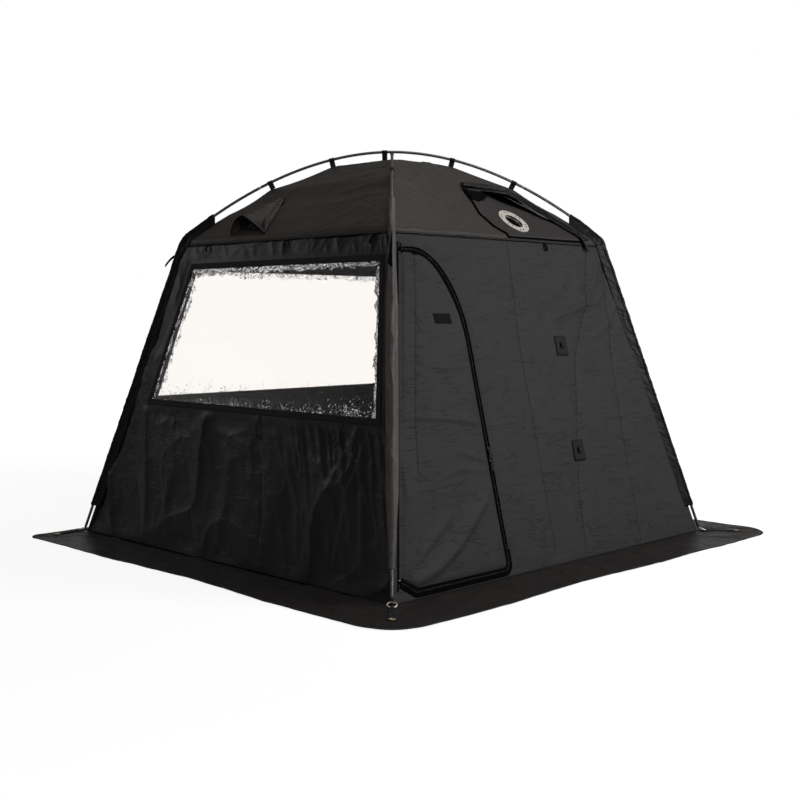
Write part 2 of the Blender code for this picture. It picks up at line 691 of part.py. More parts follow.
def corner_anchor(corner):
    """Webbing from under the pole's end out to an eyelet in the skirt, with a loop that holds the ring."""
    end, hand = corner.split("_")
    x, y = EYELETS[end]
    eyelet = Vector((x if hand == "right" else -x, y))
    turn = math.radians(CORNERS[corner])
    start = Vector((RING_END_R * math.cos(turn), RING_END_R * math.sin(turn)))
    run = eyelet - start
    heading = math.atan2(run.y, run.x)
    half = ANCHOR_WIDTH / 2
    round_end = EYELET_R + ANCHOR_MARGIN
    outline = [
        (-ANCHOR_BACK, -half),
        *arc((run.length, 0), (round_end, round_end), -50, 50, 8),
        (-ANCHOR_BACK, half),
    ]
    lay = Matrix.Translation((start.x, start.y, 0)) @ Matrix.Rotation(heading, 4, "Z")
    strap = plate(f"corner_anchor_{corner}", [outline], ANCHOR_T, lay, WEBBING, top=ANCHOR_TOP)
    at_eyelet = Matrix.Translation((eyelet.x, eyelet.y, 0))
    rim_t = ANCHOR_T / 2 + EYELET_RISE
    rim_top = ANCHOR_TOP + EYELET_RISE
    rim = plate(f"eyelet_{corner}", [circle(EYELET_R, 20)], rim_t, at_eyelet, top=rim_top, helper=True)
    name = f"eyelet_bore_{corner}"
    bore = cylinder(name, EYELET_BORE_R, CUTTER_LENGTH, at_eyelet, helper=True, segments=16)
    outer = KEEPER_R + KEEPER_T
    loop = arc((0, 0), (outer, outer), -20, 200, 10) + arc((0, 0), (KEEPER_R, KEEPER_R), 180, 0, 8)
    stand = (
        Matrix.Translation((start.x, start.y, ANCHOR_TOP))
        @ Matrix.Rotation(turn, 4, "Z")
        @ Matrix.Rotation(math.pi / 2, 4, "X")
    )
    keeper = plate(f"keeper_{corner}", [loop], KEEPER_WIDTH, stand, top=KEEPER_WIDTH / 2, helper=True)
    combine(strap, "UNION", rim, keeper)
    combine(strap, "DIFFERENCE", bore)


# Straps that hang the roof's ridges from the poles
def pole_strap(name, corner, r):
    pole = pole_of(corner)
    angle = arch_angle(pole, r)
    inner = POLE_R + STRAP_SLACK
    outer = inner + STRAP_T
    fall = (arch_z(pole, r) - ridge_z(r)) * math.cos(angle)
    tail = fall - GAP - STRAP_SLACK
    half = STRAP_T * 0.75
    lean = math.degrees(math.asin(half / outer))
    outline = [*arc((0, 0), (outer, outer), -90 + lean, 270 - lean, 16), (-half, -tail), (half, -tail)]
    stand = (
        corner_matrix(corner)
        @ Matrix.Translation(arch_point(pole, r))
        @ Matrix.Rotation(angle, 4, "Y")
        @ Matrix.Rotation(math.pi / 2, 4, "Z")
        @ Matrix.Rotation(math.pi / 2, 4, "X")
    )
    plate(name, [outline, circle(inner, 14)], STRAP_WIDTH, stand, WEBBING, top=STRAP_WIDTH / 2)


# The door: a quilted panel, its zip, two sliders and their pulls
def slider_matrix(name):
    return wall_matrix("front") @ Matrix.Translation((DOOR_RIGHT, up(SLIDER_HEIGHTS[name]), 0))


ZIP_TOP = GAP + ZIP_TAPE_T + ZIP_BEAD_RISE
SLIDER_TOP = ZIP_TOP + GAP + SLIDER_ROOF
PULL_AXIS = SLIDER_TOP + PULL_PIN_RISE


def slider(name):
    """A channel over the two beads, with two ears that hold the pull's pin."""
    half = SLIDER_WIDTH / 2
    lip = half - SLIDER_LIP
    foot = GAP + ZIP_TAPE_T + GAP
    roof_z = ZIP_TOP + GAP
    section = [
        (-half, foot),
        (-lip, foot),
        (-lip, roof_z),
        (lip, roof_z),
        (lip, foot),
        (half, foot),
        (half, SLIDER_TOP),
        (-half, SLIDER_TOP),
    ]
    frame = slider_matrix(name)
    along = frame @ Matrix.Rotation(math.pi / 2, 4, "X")
    channel = plate(
        f"zip_slider_{name}", [section], SLIDER_LENGTH, along, BLACK_METAL, top=SLIDER_LENGTH / 2
    )
    for end in (-1, 1):
        place = (end * (PULL_WIDTH / 2 + GAP + EAR_T / 2), 0, SLIDER_TOP + EAR_HEIGHT / 2 - EAR_SINK)
        size = (EAR_T, EAR_LENGTH, EAR_HEIGHT)
        combine(channel, "UNION", box(f"ear_{name}_{end + 1}", size, place, frame, helper=True))
    across = frame @ Matrix.Translation((0, 0, PULL_AXIS)) @ Matrix.Rotation(math.pi / 2, 4, "Y")
    length = PULL_WIDTH + 2 * GAP + EAR_T
    pin = cylinder(f"pull_pin_{name}", PULL_PIN_R, length, across, helper=True, segments=10)
    combine(channel, "UNION", pin)


def zip_pull(name):
    """A flat tab with an eye, hanging down the zip from the slider's pin."""
    frame = slider_matrix(name) @ Matrix.Translation((0, 0, PULL_AXIS))
    across = frame @ Matrix.Rotation(math.pi / 2, 4, "Y") @ Matrix.Rotation(math.pi / 2, 4, "Z")
    half = PULL_T / 2
    lean = math.degrees(math.asin(half / PULL_EYE_R))
    outline = [*arc((0, 0), (PULL_EYE_R, PULL_EYE_R), -180 + lean, 180 - lean, 12)]
    outline += [(-PULL_LENGTH, half), (-PULL_LENGTH, -half)]
    plate(
        f"zip_pull_{name}",
        [outline, circle(PULL_BORE_R, 12)],
        PULL_WIDTH,
        across,
        BLACK_METAL,
        top=PULL_WIDTH / 2,
    )


def door():
    outline = door_outline(ZIP_CUT, DOOR_HINGE_CLEAR)
    plate("door_panel", [outline], WALL_T, wall_matrix("front"), QUILT)
    zip_half(1, "zip_tape_door", WEBBING)
    zip_half(-1, "zip_tape_wall", WEBBING)
    for name in SLIDER_HEIGHTS:
        slider(name)
        zip_pull(name)


def window(side):
    matrix = wall_matrix(side)
    outlines = [window_outline(side, WINDOW_TAPE), window_outline(side, 0)]
    plate(f"window_frame_{side}", outlines, WINDOW_TAPE_T, matrix, WEBBING, top=GAP + WINDOW_TAPE_T)
    plate(f"window_film_{side}", [window_outline(side, WINDOW_CUT - GAP)], FILM_T, matrix, FILM)


# The flue panel, its ring in two halves and the rolled cover beside it
def flue_matrix():
    middle_s = (BAND[0] + BAND[1]) / 2 / math.sqrt(2)
    return band_matrix("front", middle_s) @ Matrix.Translation((FLUE_X, FLUE_UP, 0))


FLUE_OUTLINE = (
    (0.004, -0.436),
    (-0.008, -0.500),
    (-0.046, -0.581),
    (-0.030, -0.645),
    (0.016, -0.6955),
    (0.548, -0.6955),
    (0.450, -0.595),
    (0.405, -0.530),
    (0.355, -0.475),
    (0.290, -0.436),
)
ROLL_PLAN = (
    (0.006, -0.428),
    (0.120, -0.426),
    (0.215, -0.424),
    (0.298, -0.427),
    (0.365, -0.470),
    (0.416, -0.527),
    (0.462, -0.588),
    (0.512, -0.641),
    (0.555, -0.681),
)


def on_roof(x, y, lift):
    """The point above the front gore at a plan place, lifted square to the roof."""
    low_z, low_s, high_z, high_s = roof_band(-y)
    slope = math.atan2(high_z - low_z, low_s - high_s)
    z = low_z + (low_s + y) * math.tan(slope)
    return (x, y - lift * math.sin(slope), z + lift * math.cos(slope))


def flue_panel():
    mesh = roof_mesh("flue_panel", outset=GAP)
    panel = add("flue_panel", mesh, Matrix.Identity(4), PANEL_CLOTH)
    solidify(panel, FLUE_PANEL_T, 1)
    outline = plate(
        "flue_panel_outline", [FLUE_OUTLINE], 0.8, Matrix.Identity(4), top=TOP_HEIGHT + 0.2, helper=True
    )
    combine(panel, "INTERSECT", outline)
    combine(panel, "DIFFERENCE", bpy.data.objects["flue_hole"])


def flue_ring(name, top):
    outlines = [circle(FLUE_RING_R, 40), circle(FLUE_BORE_R, 32)]
    plate(name, outlines, FLUE_RING_T, flue_matrix(), STEEL, top=top)


def flue_cover_roll():
    lift = GAP + FLUE_PANEL_T + GAP + ROLL_R
    line = [on_roof(x, y, lift) for x, y in ROLL_PLAN]
    tube("flue_cover_roll", line, ROLL_R, Matrix.Identity(4), WEBBING, resolution=2)


# The vent: a hood like half a cone, open at its foot, over a netted hole in the left gore
def vent_matrix():
    middle_s = (BAND[0] + BAND[1]) / 2 / math.sqrt(2)
    return band_matrix("left", middle_s)


def vent_hood():
    bm = bmesh.new()
    along = Matrix.Rotation(-math.pi / 2, 4, "X")
    bmesh.ops.create_cone(
        bm, cap_ends=True, segments=24, radius1=1, radius2=0.10, depth=1, matrix=along
    )
    mouth = min(bm.faces, key=lambda face: face.calc_center_median().y)
    bmesh.ops.delete(bm, geom=[mouth], context="FACES_ONLY")
    for vert in bm.verts:
        distance = vert.co.y + 0.5
        rise = max(vert.co.z * VENT_RISE, -VENT_SINK)
        lean = max(rise, 0) * VENT_LEAN * (1 - distance)
        vert.co = (
            VENT_X + vert.co.x * VENT_HALF,
            VENT_FOOT_UP + distance * VENT_LENGTH + lean,
            rise,
        )
    bmesh.ops.recalc_face_normals(bm, faces=bm.faces)
    if sum((face.calc_center_median().z * face.normal.z) for face in bm.faces) < 0:
        bmesh.ops.reverse_faces(bm, faces=bm.faces)
    mesh = bpy.data.meshes.new("vent_hood")
    bm.to_mesh(mesh)
    bm.free()
    hood = add("vent_hood", mesh, vent_matrix(), ROOF_CLOTH)
    solidify(hood, VENT_HOOD_T, -1)
    combine(hood, "DIFFERENCE", bpy.data.objects["roof_body"])


def vent_net():
    """A flat square net, sewn inside the gore round the hole."""
    width, height = VENT_HOLE
    across, rows = NET_CELLS
    frame_x, frame_y = width / 2 + NET_HEM, height / 2 + NET_HEM
    outlines = [[(-frame_x, -frame_y), (frame_x, -frame_y), (frame_x, frame_y), (-frame_x, frame_y)]]
    pitch_x, pitch_y = width / across, height / rows
    for i in range(across):
        for j in range(rows):
            left = -width / 2 + i * pitch_x + NET_CORD / 2
            low = -height / 2 + j * pitch_y + NET_CORD / 2
            right = left + pitch_x - NET_CORD
            high = low + pitch_y - NET_CORD
            outlines.append([(left, low), (left, high), (right, high), (right, low)])
    matrix = vent_matrix() @ Matrix.Translation((VENT_X, VENT_HOLE_UP, 0))
    plate("vent_net", outlines, NET_T, matrix, NET_CORDAGE, top=-ROOF_T - GAP)


def cutting_tools():
    frustum("tent_inside", WALL_FOOT - WALL_T / math.cos(WALL_TILT), -0.1, SEAM_Z + 0.1, True)
    add("roof_body", roof_mesh("roof_body", outset=GAP, closed=True), Matrix.Identity(4), helper=True)
    cylinder("flue_hole", FLUE_CUT_R, 0.1, flue_matrix(), helper=True, segments=32)
    size = (*VENT_HOLE, 0.05)
    box("vent_hole", size, (VENT_X, VENT_HOLE_UP, 0), vent_matrix(), helper=True)


cutting_tools()
for side_name in SIDES:
    wall(side_name)
    roof(side_name)
skirt_side("right", 1)
skirt_side("left", -1)
skirt_front()
skirt_back()
for corner_name in CORNERS:
    leg_pole(corner_name)
    elbow_pole(corner_name)
    pole_sleeve(corner_name)
    ring_pin(corner_name)
    corner_anchor(corner_name)
    for number, strap_r in enumerate(STRAP_RADII, 1):
        pole_strap(f"pole_strap_{corner_name}_{number}", corner_name, strap_r)
crown_pole("upper", "back_left")
crown_pole("lower", "back_right")
pole_strap("crown_strap", "back_left", CROWN_STRAP_R)
door()
for side_name in ("left", "back"):
    window(side_name)
flue_panel()
flue_ring("flue_ring", GAP + FLUE_PANEL_T + GAP + FLUE_RING_T)
flue_ring("flue_ring_backing", -ROOF_T - GAP)
flue_cover_roll()
vent_hood()
vent_net()

# A Boolean can leave two corners almost in one place
for made_part in parts.objects:
    if made_part.modifiers:
        weld = made_part.modifiers.new("weld", "WELD")
        weld.merge_threshold = 0.00001
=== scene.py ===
import math

import bmesh
import bpy
import numpy as np
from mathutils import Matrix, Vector


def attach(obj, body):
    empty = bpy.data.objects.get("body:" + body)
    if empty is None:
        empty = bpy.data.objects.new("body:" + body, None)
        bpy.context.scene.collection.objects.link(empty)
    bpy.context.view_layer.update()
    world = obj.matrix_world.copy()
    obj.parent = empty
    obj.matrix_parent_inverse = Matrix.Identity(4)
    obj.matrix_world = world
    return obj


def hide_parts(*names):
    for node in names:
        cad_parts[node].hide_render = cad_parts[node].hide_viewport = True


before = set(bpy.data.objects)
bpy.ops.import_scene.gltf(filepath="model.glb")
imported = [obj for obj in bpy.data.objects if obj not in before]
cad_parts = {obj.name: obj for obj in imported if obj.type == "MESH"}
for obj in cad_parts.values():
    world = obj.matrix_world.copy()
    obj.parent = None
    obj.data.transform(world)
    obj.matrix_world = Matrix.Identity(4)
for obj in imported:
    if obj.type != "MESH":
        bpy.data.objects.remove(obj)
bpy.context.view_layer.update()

# Pole tubes
# Two bent poles of thin drawn aluminium, each in five lengths that plug together, cross over the roof and
# stand on the four corners. The tube is anodised grey and plain along its length, with a dull shine.
CENTRE_Y = 0.1
FOOT_R = 1.484924
LEG_SLOPE = 0.3530976
LEG_TILT = math.atan(LEG_SLOPE)
SHOULDER_R = 0.992
SHOULDER_Z = 1.396
ARCH_POWER = 1.93
BEND_REACH = 0.03
CROWN_Z = {"lower": 1.7937, "upper": 1.807}
POLE_R = 0.0065
LEG_TIP_Z = 0.022
LEG_JOINT_Z = 0.7
ARCH_JOINT_R = 0.62
CORNERS = {"front_left": 225, "front_right": 315, "back_right": 45, "back_left": 135}
POLE_OF = {"front_left": "lower", "back_right": "lower", "front_right": "upper", "back_left": "upper"}


def linear(code):
    values = [int(code[i : i + 2], 16) / 255 for i in (1, 3, 5)]
    return [v / 12.92 if v <= 0.04045 else ((v + 0.055) / 1.055) ** 2.4 for v in values] + [1]


def wire(made, inputs):
    """Sets or links a node's inputs. A node gives its first output, and a mix its colour."""
    for key, value in inputs.items():
        if isinstance(value, bpy.types.Node):
            value = value.outputs[2 if value.bl_idname == "ShaderNodeMix" else 0]
        if isinstance(value, bpy.types.NodeSocket):
            made.id_data.links.new(value, made.inputs[key])
        else:
            made.inputs[key].default_value = value


def node(tree, kind, inputs, **settings):
    made = tree.nodes.new("ShaderNode" + kind)
    for key, value in settings.items():
        setattr(made, key, value)
    wire(made, inputs)
    return made


def finish_of(name, colour, roughness, metallic=0.0, specular=0.5):
    """A plain finish with its node tree, its shader and the coordinates for the patterns on it."""
    made = bpy.data.materials.new(name)
    made.use_nodes = True
    shader = made.node_tree.nodes["Principled BSDF"]
    wire(shader, {"Base Color": linear(colour), "Roughness": roughness})
    wire(shader, {"Metallic": metallic, "Specular IOR Level": specular})
    return made, made.node_tree, shader, node(made.node_tree, "TexCoord", {})


def grain_of(tree, shader, where, texture, settings, strength, depth):
    """A fine grain that stands out of the surface."""
    grain = node(tree, texture, {"Vector": where.outputs["Object"], **settings})
    wire(shader, {"Normal": node(tree, "Bump", {"Height": grain, "Strength": strength, "Distance": depth})})
    return grain


def mottled(tree, where, scale, detail, tones):
    """Two tones that change over in patches."""
    patchy = node(tree, "TexNoise", {"Vector": where.outputs["Object"], "Scale": scale, "Detail": detail})
    return node(tree, "Mix", {"Factor": patchy, 6: linear(tones[0]), 7: linear(tones[1])}, data_type="RGBA")


def noise(x, y, z=0.0, seed=0):
    """Smooth noise from -1 to 1 on arrays, one cell a unit."""
    x, y, z = np.broadcast_arrays(np.asarray(x, float), y, z)
    cell = [np.floor(a) for a in (x, y, z)]
    part = [a - c for a, c in zip((x, y, z), cell)]
    ease = [p * p * (3 - 2 * p) for p in part]
    total = np.zeros(x.shape)
    for i in (0, 1):
        for j in (0, 1):
            for k in (0, 1):
                swing = (cell[0] + i) * 127.1 + (cell[1] + j) * 311.7 + (cell[2] + k) * 74.7 + seed * 19.19
                value = np.sin(swing) * 43758.5453
                value = (value - np.floor(value)) * 2 - 1
                weight = (ease[0] if i else 1 - ease[0]) * (ease[1] if j else 1 - ease[1])
                total += value * weight * (ease[2] if k else 1 - ease[2])
    return total


def bell(value, width, power=2):
    """1 where the value is 0, and smoothly down to nothing past the width."""
    return np.exp(-((value / width) ** power))


def arch_z(pole, r):
    rise = CROWN_Z[pole] - SHOULDER_Z
    return CROWN_Z[pole] - rise * (np.abs(r) / SHOULDER_R) ** ARCH_POWER


def arch_angle(pole, r):
    rise = CROWN_Z[pole] - SHOULDER_Z
    return np.arctan(rise / SHOULDER_R * ARCH_POWER * (np.abs(r) / SHOULDER_R) ** (ARCH_POWER - 1))


def around(corner, r, z):
    """World places at the distance r from the tent's axis, in the upright plane of a corner."""
    turn = math.radians(CORNERS[corner])
    r, z = np.broadcast_arrays(np.asarray(r, float), z)
    return np.stack([r * math.cos(turn), r * math.sin(turn) + CENTRE_Y, z], axis=-1)


def outward_of(corner):
    turn = math.radians(CORNERS[corner])
    return np.array([math.cos(turn), math.sin(turn), 0.0])


def sideways_of(corner):
    x, y, _ = outward_of(corner)
    return np.array([-y, x, 0.0])


def leg_r(z):
    return FOOT_R - LEG_SLOPE * z


def pole_line(corner, low, inner):
    """The pole's middle line as (r, z) from the height low on the leg, round the shoulder, to r = inner."""
    pole = POLE_OF[corner]
    slope = arch_angle(pole, SHOULDER_R)
    bend_z = SHOULDER_Z - BEND_REACH * math.cos(LEG_TILT)
    bend_r = SHOULDER_R - BEND_REACH * math.cos(slope)
    t = np.linspace(0, 1, 9)
    start = np.array([leg_r(bend_z), bend_z])
    middle = np.array([SHOULDER_R, SHOULDER_Z])
    end = np.array([bend_r, arch_z(pole, bend_r)])
    line = np.outer((1 - t) ** 2, start) + np.outer(2 * t * (1 - t), middle) + np.outer(t**2, end)
    if low < bend_z:
        line = np.vstack([[leg_r(low), low], line])
    if inner < bend_r:
        r = np.linspace(bend_r, inner, max(3, round((bend_r - inner) / 0.02)))[1:]
        line = np.vstack([line, np.stack([r, arch_z(pole, r)], axis=1)])
    return line


def write_mesh(name, bm):
    mesh = bpy.data.meshes.new(name)
    bm.to_mesh(mesh)
    bm.free()
    mesh.shade_smooth()
    piece = bpy.data.objects.new(name, mesh)
    bpy.context.scene.collection.objects.link(piece)
    return piece


def corners_of(piece):
    flat = np.empty(len(piece.data.vertices) * 3)
    piece.data.vertices.foreach_get("co", flat)
    return flat.reshape(-1, 3)


def put_corners(piece, places):
    piece.data.vertices.foreach_set("co", np.ascontiguousarray(places, float).ravel())
    piece.data.update()


def unit(vectors):
    return vectors / np.maximum(np.linalg.norm(vectors, axis=-1, keepdims=True), 1e-12)


def turn_to(piece, facing):
    """Turns an open sheet's faces to the side that facing points to."""
    count = len(piece.data.polygons)
    normals, areas = np.empty(count * 3), np.empty(count)
    piece.data.polygons.foreach_get("normal", normals)
    piece.data.polygons.foreach_get("area", areas)
    if (normals.reshape(-1, 3) * areas[:, None]).sum(axis=0) @ np.asarray(facing, float) < 0:
        piece.data.flip_normals()


def skin(name, across, along, place, size, facing=None):
    """A grid bent to place(u, v), both from 0 to 1, with a UV map as large as size, in metres."""
    bm = bmesh.new()
    layer = bm.loops.layers.uv.new("UVMap")
    bmesh.ops.create_grid(bm, x_segments=across, y_segments=along, size=0.5)
    for face in bm.faces:
        for loop in face.loops:
            co = loop.vert.co
            loop[layer].uv = ((co.x + 0.5) * size[0], (co.y + 0.5) * size[1])
    piece = write_mesh(name, bm)
    grid = corners_of(piece)
    put_corners(piece, place(grid[:, 0] + 0.5, grid[:, 1] + 0.5))
    if facing is not None:
        turn_to(piece, facing)
    return piece


def close_up(piece, ends=True):
    """Joins the meeting edges of a round skin, closes its ends and turns its faces outwards."""
    bm = bmesh.new()
    bm.from_mesh(piece.data)
    bmesh.ops.remove_doubles(bm, verts=bm.verts, dist=0.00002)
    if ends:
        bmesh.ops.holes_fill(bm, edges=[e for e in bm.edges if e.is_boundary], sides=0)
    bmesh.ops.recalc_face_normals(bm, faces=bm.faces)
    bm.to_mesh(piece.data)
    bm.free()
    piece.data.shade_smooth()
    return piece


def steps_along(line):
    return np.concatenate([[0], np.cumsum(np.linalg.norm(np.diff(line, axis=0), axis=1))])


def along_of(line, places):
    """The points and the directions at these lengths along a line."""
    run = steps_along(line)
    slopes = np.gradient(line, run, axis=0)
    spots = np.stack([np.interp(places, run, line[:, k]) for k in range(line.shape[1])], axis=-1)
    ways = unit(np.stack([np.interp(places, run, slopes[:, k]) for k in range(line.shape[1])], axis=-1))
    return spots, ways


def tube(name, points, radius, reference, sides, step, swell=None):
    """A round piece along a line. swell(along, angle) adds to its radius."""
    line = np.asarray(points, float)
    length = steps_along(line)[-1]

    def place(u, v):
        along, angle = u * length, v * 2 * math.pi
        centre, tangent = along_of(line, along)
        side = unit(np.cross(tangent, np.asarray(reference, float)))
        over = np.cross(side, tangent)
        reach = radius + (swell(along, angle) if swell else 0 * along)
        return centre + reach[:, None] * (np.cos(angle)[:, None] * side + np.sin(angle)[:, None] * over)

    piece = skin(name, max(2, round(length / step)), sides, place, (length, 2 * math.pi * radius))
    return close_up(piece)


def thicken(piece, thickness, offset=-1.0):
    shell = piece.modifiers.new("thickness", "SOLIDIFY")
    shell.thickness = thickness
    shell.offset = offset
    return piece


def fit(piece, look, slot, body, *nodes):
    """Gives a piece its finish and the body that it moves with, in place of the frame's plain nodes."""
    piece.data.materials.append(look)
    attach(piece, body)
    if nodes:
        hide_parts(*nodes)
    return piece


# Anodised drawn aluminium: fine marks along the tube spread its shine a little
anodised, tree, shader, where = finish_of("grey_anodised_aluminium", "#75706c", 0.36, 1.0)
DRAWN_MARKS = (25.0, 1600.0, 1.0)  # marks 40 mm long and 0.6 mm apart
long_marks = node(tree, "Mapping", {"Vector": where.outputs["UV"], "Scale": DRAWN_MARKS})
drawn = node(tree, "TexNoise", {"Vector": long_marks, "Scale": 1.0, "Detail": 2.0})
spread = {"Value": drawn, "From Min": 0.3, "From Max": 0.7, "To Min": 0.26, "To Max": 0.42}
wire(shader, {"Roughness": node(tree, "MapRange", spread)})


def swaged(along, angle):
    """The tube's rim is drawn in a little where it meets the next length."""
    end = np.minimum(along, along.max() - along)
    return -0.0005 * bell(end, 0.0015) + 0 * angle


for corner in CORNERS:
    flat_side = sideways_of(corner)
    leg = around(corner, [leg_r(LEG_TIP_Z), leg_r(LEG_JOINT_Z)], [LEG_TIP_Z, LEG_JOINT_Z])
    piece = tube(f"leg_tube_{corner}", leg, POLE_R, flat_side, 18, 0.02, swaged)
    fit(piece, anodised, "aluminium", "tent", f"leg_pole_{corner}")
    bend = pole_line(corner, LEG_JOINT_Z + 0.0003, ARCH_JOINT_R + 0.0008)
    piece = tube(f"elbow_tube_{corner}", around(corner, *bend.T), POLE_R, flat_side, 18, 0.012, swaged)
    fit(piece, anodised, "aluminium", "tent", f"elbow_pole_{corner}")
for pole, corner in (("upper", "back_left"), ("lower", "back_right")):
    r = np.linspace(-ARCH_JOINT_R, ARCH_JOINT_R, 60)
    crown = around(corner, r, arch_z(pole, r))
    piece = tube(f"crown_tube_{pole}", crown, POLE_R, sideways_of(corner), 18, 0.012, swaged)
    fit(piece, anodised, "aluminium", "tent", f"crown_pole_{pole}")

# Quilted walls
# Four leaning panels of black polyester with a thin filling, sewn in upright strips, so the seams sink, the
# cloth puckers beside them and fine level creases run across. The left wall hangs slack and crumpled.
WALL_FOOT = 1.039747
WALL_TILT = math.radians(14.01886)
WALL_T = 0.008
SEAM_Z = 1.363
SIDES = {"front": 0, "right": 90, "back": 180, "left": 270}
FACING = {"front": (0, -1, 0.2), "right": (1, 0, 0.2), "back": (0, 1, 0.2), "left": (-1, 0, 0.2)}
DOOR_INSET = 0.036
DOOR_RIGHT = -0.371
DOOR_TOP_Z = 1.3
DOOR_ARCH = (-0.61, 0.93)
DOOR_CUT = (-0.905, 0.075)
DOOR_FOOT_Z = 0.03
DOOR_CORNER_R = 0.03
ZIP_END = 0.008
FLAP_SEAM = 0.045
WINDOW = {"foot_z": 0.65, "top_z": 1.252, "foot_half": 0.751, "top_half": 0.62}
WINDOW_MIDDLES = {"left": 0.039, "back": -0.02}
WINDOW_CUT = 0.015  # the hole's edge, under the window's tape
WALL_STEP = 0.0085


def ramp(value, start, length, least=0.0):
    """Goes straight from the least at the start to 1 after the length, which is negative for a way down."""
    return np.clip((value - start) / length, least, 1)


def ridged(field):
    """Sharp ridges where smooth noise passes 0, with soft hollows between them."""
    return 1 - 2 * np.sqrt(np.abs(field))


def slope_of(z):
    return z / math.cos(WALL_TILT)


def half_wall(v):
    return WALL_FOOT - v * math.sin(WALL_TILT)


def turned(side, places):
    """Places of the front side turned to another side and moved to the tent's axis."""
    angle = math.radians(SIDES[side])
    x, y, z = places[..., 0], places[..., 1], places[..., 2]
    east = x * math.cos(angle) - y * math.sin(angle)
    north = x * math.sin(angle) + y * math.cos(angle) + CENTRE_Y
    return np.stack([east, north, z], axis=-1)


def on_wall(side, x, v, out=0.0):
    """World places on a wall: x along it, v up its slope, out of its outer face."""
    x, v, out = np.broadcast_arrays(np.asarray(x, float), v, out)
    y = -WALL_FOOT + v * math.sin(WALL_TILT) - out * math.cos(WALL_TILT)
    z = v * math.cos(WALL_TILT) + out * math.sin(WALL_TILT)
    return turned(side, np.stack([x, y, z], axis=-1))


def bow(centre, radii, start, end, steps):
    turns = np.radians(np.linspace(start, end, steps + 1))
    return np.stack([centre[0] + radii[0] * np.cos(turns), centre[1] + radii[1] * np.sin(turns)], axis=1)


def hinge_x(v):
    return -half_wall(v) + DOOR_INSET


def even_steps(line, step):
    line = np.asarray(line, float)
    along = steps_along(line)
    places = np.linspace(0, along[-1], max(2, round(along[-1] / step) + 1))
    return np.stack([np.interp(places, along, line[:, k]) for k in range(line.shape[1])], axis=1)


arch_v = slope_of(DOOR_ARCH[1])
top_v = slope_of(DOOR_TOP_Z)
foot_v = slope_of(DOOR_FOOT_Z)
cut_v = slope_of(DOOR_CUT[1])
bend_centre = (DOOR_RIGHT - DOOR_CORNER_R, foot_v + DOOR_CORNER_R)
ZIP_LINE = np.vstack(
    [
        [[hinge_x(cut_v) + ZIP_END, cut_v], [DOOR_CUT[0], foot_v]],
        bow(bend_centre, (DOOR_CORNER_R, DOOR_CORNER_R), 270, 360, 8),
        bow((DOOR_ARCH[0], arch_v), (DOOR_RIGHT - DOOR_ARCH[0], top_v - arch_v), 0, 90, 30),
        [[hinge_x(top_v) + ZIP_END, top_v]],
    ]
)


def left_of(ways):
    return np.stack([-ways[:, 1], ways[:, 0]], axis=1)


def beside(line, distance):
    """The line moved to its left by the distance."""
    return line + distance * left_of(unit(np.gradient(line, axis=0)))


def closed_door(distance, past_hinge):
    line = beside(even_steps(ZIP_LINE, 0.008), distance)
    ends = [[hinge_x(line[i][1]) + past_hinge, line[i][1]] for i in (0, -1)]
    return np.vstack([[ends[0]], line, [ends[1]]])


def window_shape(side, grow):
    foot, top = slope_of(WINDOW["foot_z"]) - grow, slope_of(WINDOW["top_z"]) + grow
    lean = (WINDOW["foot_half"] - WINDOW["top_half"]) / (top - foot - 2 * grow)
    low, high = WINDOW["foot_half"] + grow * (1 + lean), WINDOW["top_half"] + grow * (1 - lean)
    return np.array([[-low, foot], [low, foot], [high, top], [-high, top]]) + [WINDOW_MIDDLES[side], 0]


def closed(outline):
    return np.vstack([outline, outline[:1]])


def within(outline, x, y):
    inside = np.zeros(len(x), bool)
    for (x0, y0), (x1, y1) in zip(outline, np.roll(outline, -1, axis=0)):
        crosses = (y0 > y) != (y1 > y)
        inside ^= crosses & (x < (x1 - x0) * (y - y0) / (y1 - y0 + 1e-15) + x0)
    return inside


def nearest(line, x, y):
    """The nearest place on an open line and the distance to it."""
    best = np.full(len(x), 1e9)
    spot = np.stack([x, y], axis=1)
    for (x0, y0), (x1, y1) in zip(line[:-1], line[1:]):
        run = np.array([x1 - x0, y1 - y0])
        t = np.clip(((x - x0) * run[0] + (y - y0) * run[1]) / max(run @ run, 1e-15), 0, 1)
        place = np.stack([x0 + t * run[0], y0 + t * run[1]], axis=1)
        gap = np.hypot(place[:, 0] - x, place[:, 1] - y)
        closer = gap < best
        best = np.where(closer, gap, best)
        spot = np.where(closer[:, None], place, spot)
    return spot, best


def side_of(line, spot, x, y):
    """1 to the right of a line, -1 to its left."""
    run = unit(line[-1] - line[0])
    return np.sign((x - spot[:, 0]) * run[1] - (y - spot[:, 1]) * run[0])


